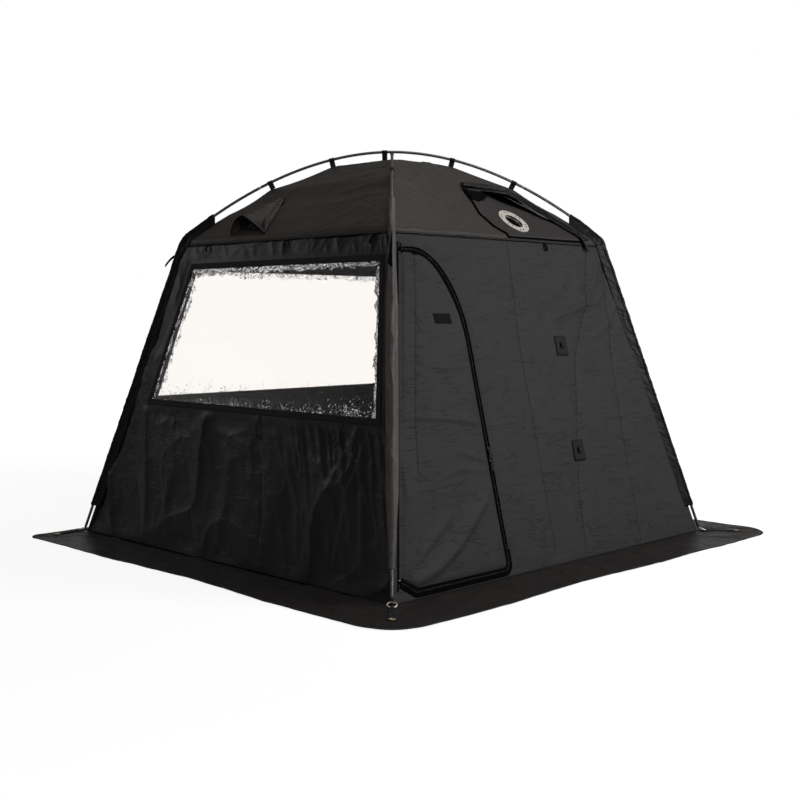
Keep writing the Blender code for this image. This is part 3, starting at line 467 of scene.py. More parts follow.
def cloth_grid(name, edges, low, high, step, cuts=()):
    """A flat fine grid between the edges at each height; cuts are outlines and whether their inside stays."""
    widest = max(edges(v)[1] - edges(v)[0] for v in (low, high))
    bm = bmesh.new()
    layer = bm.loops.layers.uv.new("UVMap")
    across, up = [max(2, round(size / step)) for size in (widest, high - low)]
    bmesh.ops.create_grid(bm, x_segments=across, y_segments=up, size=0.5)
    for vert in bm.verts:
        v = low + (vert.co.y + 0.5) * (high - low)
        left, right = edges(v)
        vert.co = (left + (vert.co.x + 0.5) * (right - left), v, 0)
    for outline, stays in cuts:
        middles = np.array([face.calc_center_median()[:2] for face in bm.faces])
        gone = within(outline, middles[:, 0], middles[:, 1]) != stays
        bm.faces.ensure_lookup_table()
        bmesh.ops.delete(bm, geom=[bm.faces[i] for i in np.flatnonzero(gone)], context="FACES")
        rim = [vert for vert in bm.verts if vert.is_boundary]
        places = np.array([vert.co[:2] for vert in rim])
        spots, gaps = nearest(closed(outline), *places.T)
        for vert, spot, gap in zip(rim, spots, gaps):
            if gap < step:
                vert.co = (spot[0], spot[1], 0)
    bmesh.ops.dissolve_degenerate(bm, dist=0.0002, edges=bm.edges)
    for face in bm.faces:
        for loop in face.loops:
            loop[layer].uv = loop.vert.co[:2]
    return write_mesh(name, bm)


def creases(x, y, length, height, seed):
    """Creases that run mostly along x: sharp folds of uneven length."""
    bent = y / height + 0.35 * noise(x / length * 0.6, y / height * 0.4, seed=seed + 5)
    fine = noise(x / length, bent, seed=seed)
    return 1 - 2.2 * np.sqrt(np.abs(fine)) * (0.6 + 0.4 * noise(x / length * 1.7, bent * 1.3, seed=seed + 9))


PILLOW_REACH = 0.035
PILLOW_MEAN = 0.0028  # taken back from the open cloth for each seam's swell


def sewn(x, y, line, depth=0.0026, width=0.0055, pillow=0.003):
    """A sewn line: a narrow groove with a soft swell on both sides, and how near it is."""
    _, gap = nearest(np.asarray(line, float), x, y)
    return pillow * (1 - bell(gap, PILLOW_REACH)) - depth * bell(gap, width), np.exp(-gap / PILLOW_REACH)


FOLD_END = 0.08  # a fold dies out over its last 80 mm
FOLD_STEEP = 0.35  # and is about a third as wide on its steep side


def fold(x, y, line, height, width):
    """A soft ridge along a line, steeper on the side to its right."""
    line = np.asarray(line, float)
    spot, gap = nearest(line, x, y)
    side = side_of(line, spot, x, y)
    reach = np.where(side > 0, width * FOLD_STEEP, width)
    start, end = [ramp(np.hypot(*(spot - tip).T), 0, FOLD_END) for tip in (line[0], line[-1])]
    return height * bell(gap, reach) * (0.25 + 0.75 * (start * end))


def wall_relief(x, v, seams, folds, seed, crease, rumple):
    """How far the cloth stands out of the wall, and how puckered it is."""
    relief, pucker = np.zeros(len(x)), np.zeros(len(x))
    for line in seams:
        shape, near = sewn(x, v, line)
        relief += shape
        pucker = np.maximum(pucker, near)
    relief -= PILLOW_MEAN * len(seams)
    for line, height, width in folds:
        relief += fold(x, v, line, height, width)
    uneven = 0.35 + 1.3 * pucker + 0.5 * noise(x / 0.3, v / 0.3, seed=seed + 3)
    relief += crease * uneven * creases(x, v, 0.17, 0.045, seed)
    relief += 0.7 * crease * pucker * creases(x, v, 0.05, 0.022, seed + 20)
    relief += rumple * noise(x / 0.22, v / 0.3, seed=seed + 1)
    relief += 0.5 * rumple * noise(x / 0.09 + 2 * v, v / 0.16, seed=seed + 2)
    edge = np.minimum(half_wall(v) - np.abs(x), np.minimum(v, slope_of(SEAM_Z) - v))
    return relief * ramp(edge, 0, 0.04), pucker


def seam_gap(x, v, seams):
    """1 on the seams, a little more or less beside them by turns, so that it is even between two seams."""
    best, signed = np.full(len(x), 0.03), np.full(len(x), 0.03)
    for turn, line in enumerate(seams):
        line = np.asarray(line, float)
        spot, gap = nearest(line, x, v)
        side = side_of(line, spot, x, v) * (-1) ** turn
        signed = np.where(gap < best, gap * side, signed)
        best = np.minimum(gap, best)
    return 1 + signed


def mark(piece, name, values):
    layer = piece.data.attributes.new(name, "FLOAT", "POINT")
    layer.data.foreach_set("value", np.ascontiguousarray(np.broadcast_to(values, len(layer.data)), float))


def hang(piece, places, thickness, facing=None, **marks):
    """Moves a flat sheet's corners to where it hangs, gives it its thickness and marks how crumpled it is."""
    put_corners(piece, places)
    if facing is not None:
        turn_to(piece, facing)
    for name, values in marks.items():
        mark(piece, name, values)
    return thicken(piece, thickness)


def crease_lines(tree, place, scale, width, breaks):
    """Fine broken lines that are 1 in the middle of a crease, where smooth noise passes its middle value."""
    stretched = node(tree, "Mapping", {"Vector": place, "Scale": scale})
    field = node(tree, "TexNoise", {"Vector": stretched, "Scale": 1.0, "Detail": 2.0, "Roughness": 0.5})
    side = node(tree, "Math", {0: field, 1: 0.5}, operation="SUBTRACT")
    side = node(tree, "Math", {0: side}, operation="ABSOLUTE")
    lines = {"Value": side, "From Min": width, "From Max": 0.0}
    lines = node(tree, "MapRange", lines, interpolation_type="SMOOTHSTEP")
    parts = node(tree, "TexNoise", {"Vector": place, "Scale": breaks, "Detail": 1.0})
    parts = node(tree, "MapRange", {"Value": parts, "From Min": 0.45, "From Max": 0.62})
    return node(tree, "Math", {0: lines, 1: parts}, operation="MULTIPLY")


def cloth_finish(name, tones, roughness, specular, scale, width, depth, thread, crease_shade_tone=0.35):
    """Woven coated cloth: two tones in patches, painted shade in its fine crease lines and seam grooves, soft
    wrinkles and the weave.
    """
    look, tree, shader, where = finish_of(name, tones[0], roughness, specular=specular)
    place = where.outputs["Object"]
    lines = crease_lines(tree, place, scale, width, 9.0)
    finer = crease_lines(tree, place, [2.1 * s for s in scale], width, 14.0)
    both = node(tree, "Math", {0: lines, 1: finer}, operation="MAXIMUM")
    crumple = node(tree, "Attribute", {}, attribute_name="crumple")
    share = node(tree, "MapRange", {"Value": crumple.outputs["Fac"], "To Min": 0.45, "To Max": 1.0})
    drawn = node(tree, "Math", {0: both, 1: share}, operation="MULTIPLY")
    seam = node(tree, "Attribute", {}, attribute_name="seam")
    seam = node(tree, "Math", {0: seam.outputs["Fac"], 1: 1.0}, operation="SUBTRACT")
    seam = node(tree, "Math", {0: seam}, operation="ABSOLUTE")
    seam = {"Value": seam, "From Min": 0.003, "From Max": 0.0012, "To Max": 0.75}
    seam = node(tree, "MapRange", seam, interpolation_type="SMOOTHSTEP")
    # Painted shade: the crease lines, and the seams' grooves from the seam mark, take the colour towards near
    # black, as if shadow lay in them
    painted_crease_shade = node(tree, "Math", {0: drawn, 1: crease_shade_tone}, operation="MULTIPLY")
    painted_crease_shade = node(tree, "Math", {0: painted_crease_shade, 1: seam}, operation="MAXIMUM")
    tint = {"Factor": painted_crease_shade, 6: mottled(tree, where, 5.0, 3.0, tones), 7: (0.002, 0.002, 0.002, 1)}
    soft = node(tree, "Mapping", {"Vector": place, "Scale": [0.45 * s for s in scale]})
    soft = node(tree, "TexNoise", {"Vector": soft, "Scale": 1.0, "Detail": 5.0, "Roughness": 0.62})
    height = node(tree, "Math", {0: both, 1: -0.18, 2: soft}, operation="MULTIPLY_ADD")
    height = node(tree, "Math", {0: height, 1: share}, operation="MULTIPLY")
    coarse = node(tree, "Bump", {"Height": height, "Strength": 0.8, "Distance": depth})
    threads = node(tree, "TexNoise", {"Vector": place, "Scale": thread, "Detail": 1.0})
    weave = node(tree, "Bump", {"Height": threads, "Normal": coarse, "Strength": 0.25, "Distance": 0.0005})
    wire(shader, {"Base Color": node(tree, "Mix", tint, data_type="RGBA"), "Normal": weave})
    return look


# Plain woven polyester over filling: matte, with creases every 16 mm or so, and the weave drawn at 1.5 mm
quilt = cloth_finish(
    "woven_quilted_polyester", ("#353334", "#3a3838"), 0.6, 0.14,
    scale=(3.6, 3.6, 17.0), width=0.024, depth=0.011, thread=700.0, crease_shade_tone=0.45,
)
# The same cloth where it hangs slack, so it catches the light in short slanting streaks; its near-black tones
# are painted shade, as the left wall gets little of the lamps' light
slack = cloth_finish(
    "shaded_slack_polyester", ("#131313", "#1a1a1a"), 0.42, 0.26,
    scale=(4.5, 4.5, 18.0), width=0.03, depth=0.004, thread=700.0, crease_shade_tone=0.3,
)

WALL_SEAMS = {
    "front": [
        [(0.006, 1.405), (-0.037, 0.997), (-0.044, 0.602), (-0.056, 0.03)],
        [(0.59, 1.405), (0.479, 1.104), (0.341, 0.894), (0.253, 0.582), (0.185, 0.303), (0.15, 0.03)],
        [(0.69, 1.34), (0.621, 0.887), (0.587, 0.56), (0.579, 0.311), (0.57, 0.03)],
    ],
    "left": [
        [(-0.53, 0.62), (-0.446, 0.522), (-0.337, 0.369), (-0.274, 0.262), (-0.192, 0.037)],
        [(0.013, 0.62), (0.115, 0.52), (0.18, 0.386), (0.235, 0.2), (0.26, 0.03)],
        [(0.642, 0.62), (0.726, 0.469), (0.88, 0.245)],
        [(-0.8, 0.5), (-0.787, 0.424), (-0.672, 0.218), (-0.581, 0.017)],
    ],
    "back": [
        [(-0.5, 0.62), (-0.48, 0.3), (-0.47, 0.03)],
        [(0.02, 0.62), (0.0, 0.3), (0.01, 0.03)],
        [(0.5, 0.62), (0.52, 0.3), (0.53, 0.03)],
    ],
    "right": [
        [(-0.48, 1.38), (-0.5, 0.8), (-0.52, 0.03)],
        [(0.02, 1.4), (0.0, 0.8), (0.01, 0.03)],
        [(0.5, 1.38), (0.52, 0.8), (0.54, 0.03)],
    ],
}
WALL_FOLDS = {
    "front": [
        ([(0.64, 1.3), (0.47, 1.12), (0.2, 1.06)], 0.0075, 0.022),
        ([(0.7, 1.23), (0.56, 1.13), (0.33, 1.13)], 0.006, 0.018),
        ([(0.67, 1.34), (0.56, 1.24), (0.4, 1.19)], 0.005, 0.016),
        ([(0.74, 1.15), (0.62, 1.02), (0.45, 0.96)], 0.005, 0.022),
        ([(0.42, 1.3), (0.3, 1.18), (0.12, 1.13)], 0.004, 0.02),
    ],
    "left": [
        ([(-0.209, 0.562), (0.1, 0.486)], 0.006, 0.03),
        ([(0.28, 0.554), (0.576, 0.435)], 0.006, 0.03),
        ([(0.378, 0.603), (0.546, 0.493)], 0.005, 0.02),
        ([(0.7, 0.64), (0.56, 0.3), (0.52, 0.05)], 0.006, 0.045),
        ([(0.72, 0.6), (0.8, 0.3), (0.86, 0.08)], 0.006, 0.035),
        ([(0.76, 0.62), (0.7, 0.35), (0.69, 0.06)], 0.004, 0.03),
        ([(0.3, 0.5), (0.42, 0.3), (0.48, 0.1)], 0.006, 0.035),
        ([(-0.08, 0.48), (-0.02, 0.25), (-0.04, 0.06)], 0.006, 0.04),
        ([(-0.5, 0.42), (-0.44, 0.25), (-0.46, 0.05)], 0.006, 0.035),
        ([(-0.62, 0.6), (-0.56, 0.44), (-0.38, 0.06)], 0.005, 0.03),
        ([(0.66, 1.33), (0.56, 1.29), (0.42, 1.32)], 0.005, 0.016),
        ([(0.48, 1.39), (0.52, 1.31)], 0.006, 0.018),
        ([(0.6, 1.39), (0.59, 1.32)], 0.006, 0.014),
        ([(0.64, 1.395), (0.67, 1.31)], 0.006, 0.012),
    ],
    "back": [
        ([(0.3, 0.56), (0.56, 0.42)], 0.005, 0.03),
        ([(-0.62, 0.56), (-0.42, 0.3)], 0.005, 0.03),
    ],
    "right": [
        ([(-0.56, 1.25), (-0.3, 1.08), (0.0, 1.04)], 0.005, 0.03),
        ([(0.6, 0.95), (0.3, 0.7)], 0.005, 0.035),
    ],
}
LOOSENESS = {"front": 1.0, "right": 1.2, "back": 1.5, "left": 1.8}
CUT_Z = 0.0026  # the walls' lower edge, just over the skirt
FOLDED_CUT_Z = 0.0043  # the same over the folded skirt behind
for number, side in enumerate(SIDES):
    cuts = []
    if side == "front":
        cuts = [(closed_door(-0.008, -0.0003), False)]
    if side in WINDOW_MIDDLES:
        cuts = [(window_shape(side, WINDOW_CUT), False)]
    foot = slope_of(FOLDED_CUT_Z if side == "back" else CUT_Z)
    width = lambda v: (-half_wall(v), half_wall(v))
    piece = cloth_grid(f"quilted_wall_{side}", width, foot, slope_of(SEAM_Z), WALL_STEP, cuts)
    x, v = corners_of(piece).T[:2]
    seams, loose = WALL_SEAMS[side], LOOSENESS[side]
    relief, pucker = wall_relief(x, v, seams, WALL_FOLDS[side], 11 * number, 0.0007 * loose, 0.0022 * loose)
    crumple = np.clip(0.15 + 0.8 * pucker + 0.6 * (0.75 - v), 0, 1) * (0.7 if side == "front" else 1.0)
    if side == "left":
        crumple = np.clip(crumple + 0.4, 0.6, 1)
        relief += 0.0024 * ridged(noise((x + 0.5 * v) / 0.07, (v - 0.5 * x) / 0.13, seed=7))
        broad = noise((x + 0.25 * v) / 0.24, (v - 0.3 * x) / 0.42, seed=17)
        relief += 0.011 * ridged(broad) * ramp(v, 0.72, -0.1, 0.25)
        fan = ramp(x, 0.25, 0.25) * ramp(v, 0.7, -0.1) * ramp(v, 0.1, 0.4)
        relief += 0.0062 * fan * ridged(noise((x + 0.45 * v) / 0.03, v / 0.3, seed=8))
        over = ramp(v, 1.31, 0.02) * ramp(x, -0.1, 0.5, 0.25)
        relief += 0.0018 * over * ridged(noise((x - 0.6 * v) / 0.024, v / 0.06, seed=9))
    if side == "front":
        line = even_steps(ZIP_LINE, 0.01)
        relief += sewn(x, v, beside(line, -FLAP_SEAM), 0.002, 0.004, 0.0)[0]
        relief *= ramp(nearest(line, x, v)[1], 0.02, 0.03) * ramp(np.abs(x - hinge_x(v)), 0, 0.03)
    if side in WINDOW_MIDDLES:
        relief *= ramp(nearest(closed(window_shape(side, WINDOW_CUT)), x, v)[1], 0.02, 0.03)
    relief *= ramp(v - foot, 0.003, 0.06)
    places = on_wall(side, x, v, relief)
    hang(piece, places, WALL_T - 0.001, crumple=crumple, seam=seam_gap(x, v, seams))
    fit(piece, slack if side == "left" else quilt, "quilted_polyester", "tent", f"wall_{side}")

# Door panel
# A D-shaped panel of the same quilt, sewn to the wall along its straight left edge and closed all round by
# the zip. It has one seam of its own, hangs a little slack and folds across its lower corner.
rim = closed_door(0.011, 0.0005)
width = lambda v: (hinge_x(v) + 0.0005, DOOR_RIGHT + 0.02)
piece = cloth_grid("quilted_door", width, foot_v, top_v, 0.0075, [(rim, True)])
x, v = corners_of(piece).T[:2]
DOOR_SEAM = [(-0.598, 1.318), (-0.664, 1.025), (-0.758, 0.649), (-0.79, 0.45)]
DOOR_FOLDS = [
    ([(-0.94, 0.05), (-0.78, 0.09), (-0.655, 0.15), (-0.56, 0.22), (-0.42, 0.33)], 0.01, 0.04),
    ([(-0.9, 0.12), (-0.76, 0.21), (-0.64, 0.29)], 0.005, 0.03),
    ([(-0.81, 0.673), (-0.6, 0.655), (-0.384, 0.624)], 0.004, 0.018),
    ([(-0.56, 0.52), (-0.4, 0.47)], 0.004, 0.016),
    ([(-0.86, 0.3), (-0.87, 0.5), (-0.85, 0.7)], 0.004, 0.018),
    ([(-0.7, 0.42), (-0.56, 0.45), (-0.4, 0.43)], 0.0025, 0.016),
    ([(-0.74, 0.9), (-0.56, 0.85), (-0.4, 0.86)], 0.0025, 0.018),
]
relief, pucker = wall_relief(x, v, [DOOR_SEAM], DOOR_FOLDS, 77, 0.0007, 0.0024)
_, gap = nearest(closed(rim), x, v)
relief = (relief + 0.004) * ramp(gap, 0, 0.02) ** 0.5 + 0.0005
relief *= ramp(x - hinge_x(v), 0.008, 0.022)
crumple = np.clip(0.15 + 0.8 * pucker + 0.7 * (0.85 - v), 0, 1) * 0.7
seam = seam_gap(x, v, [DOOR_SEAM])
hang(piece, on_wall("front", x, v, relief), WALL_T - 0.0015, crumple=crumple, seam=seam)
fit(piece, quilt, "quilted_polyester", "door", "door_panel")

# A soft hook patch near the top of the door: a dense black nap, matte
nap, tree, shader, where = finish_of("hook_tape_nap", "#171416", 0.9, specular=0.15)
grain_of(tree, shader, where, "TexVoronoi", {"Scale": 650.0}, 0.6, 0.001)


def patch(name, corners, out, look, body, bulge=0.001, seed=0):
    """A small sewn piece on the front wall with its edges pressed down."""
    low_left, low_right, high_right, high_left = [np.array(c, float) for c in corners]

    def place(u, v):
        u, v = u[:, None], v[:, None]
        spot = (1 - v) * ((1 - u) * low_left + u * low_right) + v * ((1 - u) * high_left + u * high_right)
        edge = np.minimum(np.minimum(u, 1 - u), np.minimum(v, 1 - v))[:, 0]
        wave = 0.0005 * noise(spot[:, 0] / 0.02, spot[:, 1] / 0.03, seed=seed)
        return on_wall("front", *spot.T, out + bulge * ramp(edge, 0, 0.12) + wave)

    piece = skin(name, 14, 14, place, (0.09, 0.09), FACING["front"])
    thicken(piece, 0.0012)
    return fit(piece, look, "webbing", body)


corners = [(-0.552, 1.037), (-0.452, 1.037), (-0.456, 1.079), (-0.556, 1.079)]
patch("door_hook_patch", corners, 0.0055, nap, "door")

# Door zip
# Two woven tapes with a coil of black nylon along each meeting edge; one is sewn to the door and one to the
# wall. A storm flap of doubled wall cloth is sewn beside it and stands a little over the tape.
coil_look, tree, shader, where = finish_of("black_nylon_coil", "#0d0c0d", 0.35, specular=0.4)
COIL_TEETH = 2 * math.pi / (20 * 0.0025)  # one tooth every 2.5 mm along the coil
teeth = node(tree, "TexWave", {"Vector": where.outputs["UV"], "Scale": COIL_TEETH})
bump = node(tree, "Bump", {"Height": teeth.outputs["Fac"], "Strength": 0.6, "Distance": 0.001})
wire(shader, {"Normal": bump})


def webbing_finish(name, tones, roughness, rib, stitches, specular=0.25):
    """Woven black tape: ribs across it, a slow change of tone, and a row of stitches near each edge."""
    look, tree, shader, where = finish_of(name, tones[0], roughness, specular=specular)
    place = where.outputs["UV"]
    ribs = {"Vector": place, "Scale": 2 * math.pi / (20 * rib), "Distortion": 0.4}
    ribs = node(tree, "TexWave", ribs, bands_direction="Y")
    tint = mottled(tree, where, 40.0, 3.0, tones)
    if stitches:
        parts = node(tree, "SeparateXYZ", {"Vector": place})
        near = node(tree, "Math", {0: parts.outputs["X"], 1: stitches}, operation="PINGPONG")
        near = node(tree, "Math", {0: near, 1: 0.0006}, operation="LESS_THAN")
        dash = node(tree, "Math", {0: parts.outputs["Y"], 1: 0.005}, operation="MODULO")
        dash = node(tree, "Math", {0: dash, 1: 0.0035}, operation="LESS_THAN")
        sewing = node(tree, "Math", {0: near, 1: dash}, operation="MULTIPLY")
        tint = {"Factor": sewing, 6: tint, 7: linear("#2e2b2b")}
        tint = node(tree, "Mix", tint, data_type="RGBA")
    bump = node(tree, "Bump", {"Height": ribs.outputs["Fac"], "Strength": 0.5, "Distance": 0.0006})
    wire(shader, {"Base Color": tint, "Normal": bump})
    return look


# Flat woven black tape with ribs every 2 mm; its almost black tone, which gives back hardly any light, is
# partly painted shade for the shadow under the storm flap along the zip
tape_look = webbing_finish("shade_dark_woven_tape", ("#030303", "#070707"), 0.9, 0.002, 0.0, 0.05)
zip_run = even_steps(ZIP_LINE, 0.004)
zip_length = steps_along(zip_run)[-1]
TAPE_WIDTH = 0.0204
TAPE_GAP = 0.0006
COIL_R = 0.0014
COIL_ASIDE = 0.0018
BACKING_WIDTH = 0.008
for half, sign, body in (("wall", -1, "tent"), ("door", 1, "door")):

    def lay(u, v):
        spots, _ = along_of(zip_run, v * zip_length)
        run = unit(np.gradient(zip_run, axis=0))
        ways = np.stack([np.interp(v * zip_length, steps_along(zip_run), run[:, k]) for k in (0, 1)], axis=1)
        spots = spots + (sign * (TAPE_GAP + u * TAPE_WIDTH))[:, None] * left_of(ways)
        return on_wall("front", *spots.T, 0.0008 + 0.0004 * (1 - u) ** 2)

    piece = skin(f"zip_tape_{half}_cloth", 6, 560, lay, (TAPE_WIDTH, zip_length), FACING["front"])
    thicken(piece, 0.0009, 1.0)
    fit(piece, tape_look, "webbing", body, f"zip_tape_{half}")
    line = on_wall("front", *beside(zip_run, sign * COIL_ASIDE).T, 0.0021)
    piece = tube(f"zip_coil_{half}", line, COIL_R, (0, 0.97, -0.24), 8, 0.005)
    fit(piece, coil_look, "webbing", body)


# A strip of the same tape lies behind the coils, so that no light comes through between them
def backing_place(u, v):
    spots, ways = along_of(zip_run, v * zip_length)
    return on_wall("front", *(spots + (BACKING_WIDTH * (u - 0.5))[:, None] * left_of(ways)).T, 0.0002)


piece = skin("zip_backing_tape", 2, 480, backing_place, (BACKING_WIDTH, zip_length), FACING["front"])
thicken(piece, 0.0006)
fit(piece, tape_look, "webbing", "tent")

for end, v, low, high in (("foot", cut_v, 0.022, 0.008), ("top", top_v, 0.008, 0.022)):
    left, right = hinge_x(v) - 0.008, hinge_x(v) + 0.016
    corners = [(left, v - low), (right, v - low), (right, v + high), (left, v + high)]
    patch(f"zip_end_{end}", corners, -0.0008, tape_look, "tent", 0.0004)
FLAP_START = 0.68  # along the zip, where the flap begins at the corner of its foot run
flap_run = zip_run[steps_along(zip_run) > FLAP_START][:-1]
flap_length = steps_along(flap_run)[-1]
FLAP_FREE = 0.0085


def flap_place(u, v):
    along = v * flap_length
    spots, ways = along_of(flap_run, along)
    spots = spots - (FLAP_SEAM - u * (FLAP_SEAM - FLAP_FREE))[:, None] * left_of(ways)
    ripple = 0.0008 * noise(along / 0.05, u * 2, seed=31) + 0.0012 * noise(along / 0.17, u, seed=32)
    lift = 0.0014 + 0.0062 * u**1.6 + ripple * np.clip(u * 3, 0, 1)
    ends = ramp(np.minimum(along, flap_length - along), 0, 0.03, 0.25)
    return on_wall("front", *spots.T, lift * ends)


piece = skin("storm_flap", 12, 330, flap_place, (0.036, flap_length), FACING["front"])
mark(piece, "crumple", 0.25)
thicken(piece, 0.0022)
fit(piece, quilt, "quilted_polyester", "tent")


# The door's sewn edge is bound with a narrow black tape on the wall's side; it also stands as painted shade
# for the shadow in the gap at the hinge
def edge_place(u, v):
    at = cut_v - 0.03 + v * (top_v - cut_v + 0.06)
    return on_wall("front", hinge_x(at) - 0.01 + 0.0085 * u, at, 0.0009 + 0.0008 * np.sin(np.pi * u))


piece = skin("door_edge_shade_tape", 6, 120, edge_place, (0.0085, 1.3), FACING["front"])
thicken(piece, 0.0007)
fit(piece, tape_look, "webbing", "tent")

# Zip sliders and pulls
# Small cast black sliders ride on the coil, each with a pressed pull on a pin. The enamel is smooth, its
# black mottled a little.
enamel, tree, shader, where = finish_of("black_enamelled_zinc", "#131213", 0.32, 0.6)
wire(shader, {"Base Color": mottled(tree, where, 300.0, 3.0, ("#0f0e0f", "#232122"))})


def repaint(name, look):
    """A node of the frame whose shape stays gets its finish."""
    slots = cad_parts[name].material_slots
    for place in slots:
        place.material = look
    if not slots:
        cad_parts[name].data.materials.append(look)


for name in ("zip_slider_upper", "zip_slider_lower", "zip_pull_upper", "zip_pull_lower"):
    repaint(name, enamel)

# Windows
# Clear thick film is sewn into the left and back walls behind a flat black tape. The film is smooth in the
# middle and crinkled along its edges, where it was folded and sewn, so it glitters there.
WINDOW_TAPE = 0.028
FILM_EDGE = 0.013
FILM_T = 0.0005

film_look, tree, shader, where = finish_of("clear_vinyl_film", "#fdfbf9", 0.02, specular=0.5)
wire(shader, {"Transmission Weight": 1.0, "IOR": 1.45})
CRINKLE_PITCH = 1 / 0.012  # a facet about every 12 mm
place = where.outputs["Object"]
sharp = {"Vector": place, "Scale": CRINKLE_PITCH, "Detail": 1.0, "Roughness": 0.6, "Randomness": 1.0}
sharp = node(tree, "TexVoronoi", sharp, feature="F2")
rim = node(tree, "Attribute", {}, attribute_name="crinkle")
jagged = node(tree, "TexNoise", {"Vector": place, "Scale": 110.0, "Detail": 3.0})
jagged = node(tree, "Math", {0: jagged, 1: 0.9, 2: rim.outputs["Fac"]}, operation="MULTIPLY_ADD")
rim = node(tree, "MapRange", {"Value": jagged, "From Min": 0.88, "From Max": 0.98})
side = node(tree, "NewGeometry", {})
glints = node(tree, "MapRange", {"Value": sharp.outputs["Color"], "From Min": 0.6, "From Max": 0.72})
# Painted shade: where the crinkled rim is folded double, away from the glinting cells, its colour goes to a
# dark bluish grey that stands for the dark inside seen through it and a bluish reflection
doubled = node(tree, "Math", {0: 1.0, 1: glints}, operation="SUBTRACT")
doubled = node(tree, "Math", {0: doubled, 1: rim}, operation="MULTIPLY")
tint = {"Factor": doubled, 6: linear("#fdfbf9"), 7: linear("#50545e")}
tint = node(tree, "Mix", tint, data_type="RGBA")
glints = node(tree, "Math", {0: glints, 1: rim}, operation="MULTIPLY")
shine = node(tree, "MapRange", {"Value": glints, "To Min": 0.04, "To Max": 1.0})
facing_out = node(tree, "Math", {0: 1.0, 1: side.outputs["Backfacing"]}, operation="SUBTRACT")
reach = node(tree, "Math", {0: facing_out, 1: rim}, operation="MULTIPLY")
height = node(tree, "Math", {0: sharp, 1: reach}, operation="MULTIPLY")
bump = node(tree, "Bump", {"Height": height, "Strength": 1.0, "Distance": 0.0035})
wire(shader, {"Base Color": tint, "Specular Tint": shine, "Normal": bump})

# Flat woven binding, blue-black, with a row of stitches 3 mm from each edge
binding_look = webbing_finish("woven_window_tape", ("#141418", "#1a1a1f"), 0.75, 0.0018, 0.0085)


def round_shape(outline, v):
    """Places round a closed outline, equal in v for each of its sides."""
    side = np.minimum(np.floor(v * len(outline)), len(outline) - 1).astype(int)
    share = (v * len(outline) - side)[:, None]
    return (1 - share) * outline[side] + share * np.roll(outline, -1, axis=0)[side]


for number, side in enumerate(WINDOW_MIDDLES):
    shape = window_shape(side, FILM_EDGE)
    width = lambda v: shape[:2, 0]
    piece = cloth_grid(f"window_film_{side}_clear", width, shape[0, 1], shape[2, 1], 0.009, [(shape, True)])
    x, v = corners_of(piece).T[:2]
    foot, right, top, left = [nearest(shape[[i, (i + 1) % 4]], x, v)[1] for i in range(4)]
    flank = np.minimum(right, left)
    ragged = 0.012 * noise(x / 0.03, v / 0.03, seed=91 + number)
    near_top = bell(np.maximum(top + ragged - 0.014, 0), 0.024)
    near_flank = bell(np.maximum(flank + ragged - 0.014, 0), 0.016)
    streaky = noise((x + 0.8 * v) / 0.03, (v - 0.6 * x) / 0.075, seed=93 + number)
    wedge = 0.02 + 0.13 * np.clip(0.45 + 0.77 * x, 0, 1)
    near_foot = bell(np.maximum(foot - 0.012, 0), wedge) * np.clip(0.35 + 0.1 * streaky, 0, 0.48)
    crinkle = np.clip(np.maximum(np.maximum(near_top, near_flank), near_foot), 0, 1)
    seed = 95 + number
    folds = np.abs(noise(x / 0.035 + 0.5 * v / 0.02, v / 0.05, seed=seed))
    folds += 0.5 * np.abs(noise(x / 0.02, v / 0.024 - x / 0.03, seed=seed + 2))
    held = ramp(np.minimum(np.minimum(foot, top), flank), 0.008, 0.016)
    slack_wave = 0.0008 * noise(x / 0.25, v / 0.2, seed=seed + 4)
    out = -0.0012 + held * (0.003 * crinkle * (0.5 - folds) + slack_wave)
    hang(piece, on_wall(side, x, v, out), FILM_T, crinkle=crinkle)
    piece.modifiers["thickness"].offset = 0.0
    fit(piece, film_look, "clear_film", "tent", f"window_film_{side}")

    inner, outer = window_shape(side, 0.0), window_shape(side, WINDOW_TAPE)
    length = steps_along(closed(outer))[-1]

    def tape_place(u, v):
        spots = (1 - u)[:, None] * round_shape(inner, v) + u[:, None] * round_shape(outer, v)
        wave = 0.0007 * noise(v * length / 0.05, u, seed=99) + 0.001 * noise(v * length / 0.16, u, seed=98)
        return on_wall(side, *spots.T, 0.0022 + wave - 0.0008 * np.abs(2 * u - 1) ** 4)

    piece = close_up(skin(f"window_tape_{side}", 8, 480, tape_place, (WINDOW_TAPE, length)), ends=False)
    turn_to(piece, FACING[side])
    thicken(piece, 0.0016)
    fit(piece, binding_look, "webbing", "tent", f"window_frame_{side}")

# Roof gores
# Four triangles of coated black cloth that hang under the poles from webbing straps. Each ridge sags
# between its straps, most beside the crown, and fine level folds cross the cloth, which shines a little.
SLEEVE_REACH = 0.0145
ROOF_BAND = (0.97, 0.77)
SLEEVED_DROP = 0.0185
HANGERS = (ROOF_BAND[1], 0.575, 0.285, 0.035)
HANGER_DROPS = (0.041, 0.034, 0.034, 0.04)
RIDGE_SAGS = (0.012, 0.015, 0.022)
SHOULDER_SOFT = 0.014
ROOF_FOOT_R = 0.98915
ARMS = {"front": ("front_left", "front_right"), "right": ("front_right", "back_right")}
ARMS.update({"back": ("back_right", "back_left"), "left": ("back_left", "front_left")})
EXTRA_SAGS = {
    "front_left": (-0.002, -0.004, -0.015),
    "front_right": (-0.002, -0.006, -0.022),
    "back_right": (0.001, 0.002, -0.008),
    "back_left": (0.0, 0.0, 0.002),
}


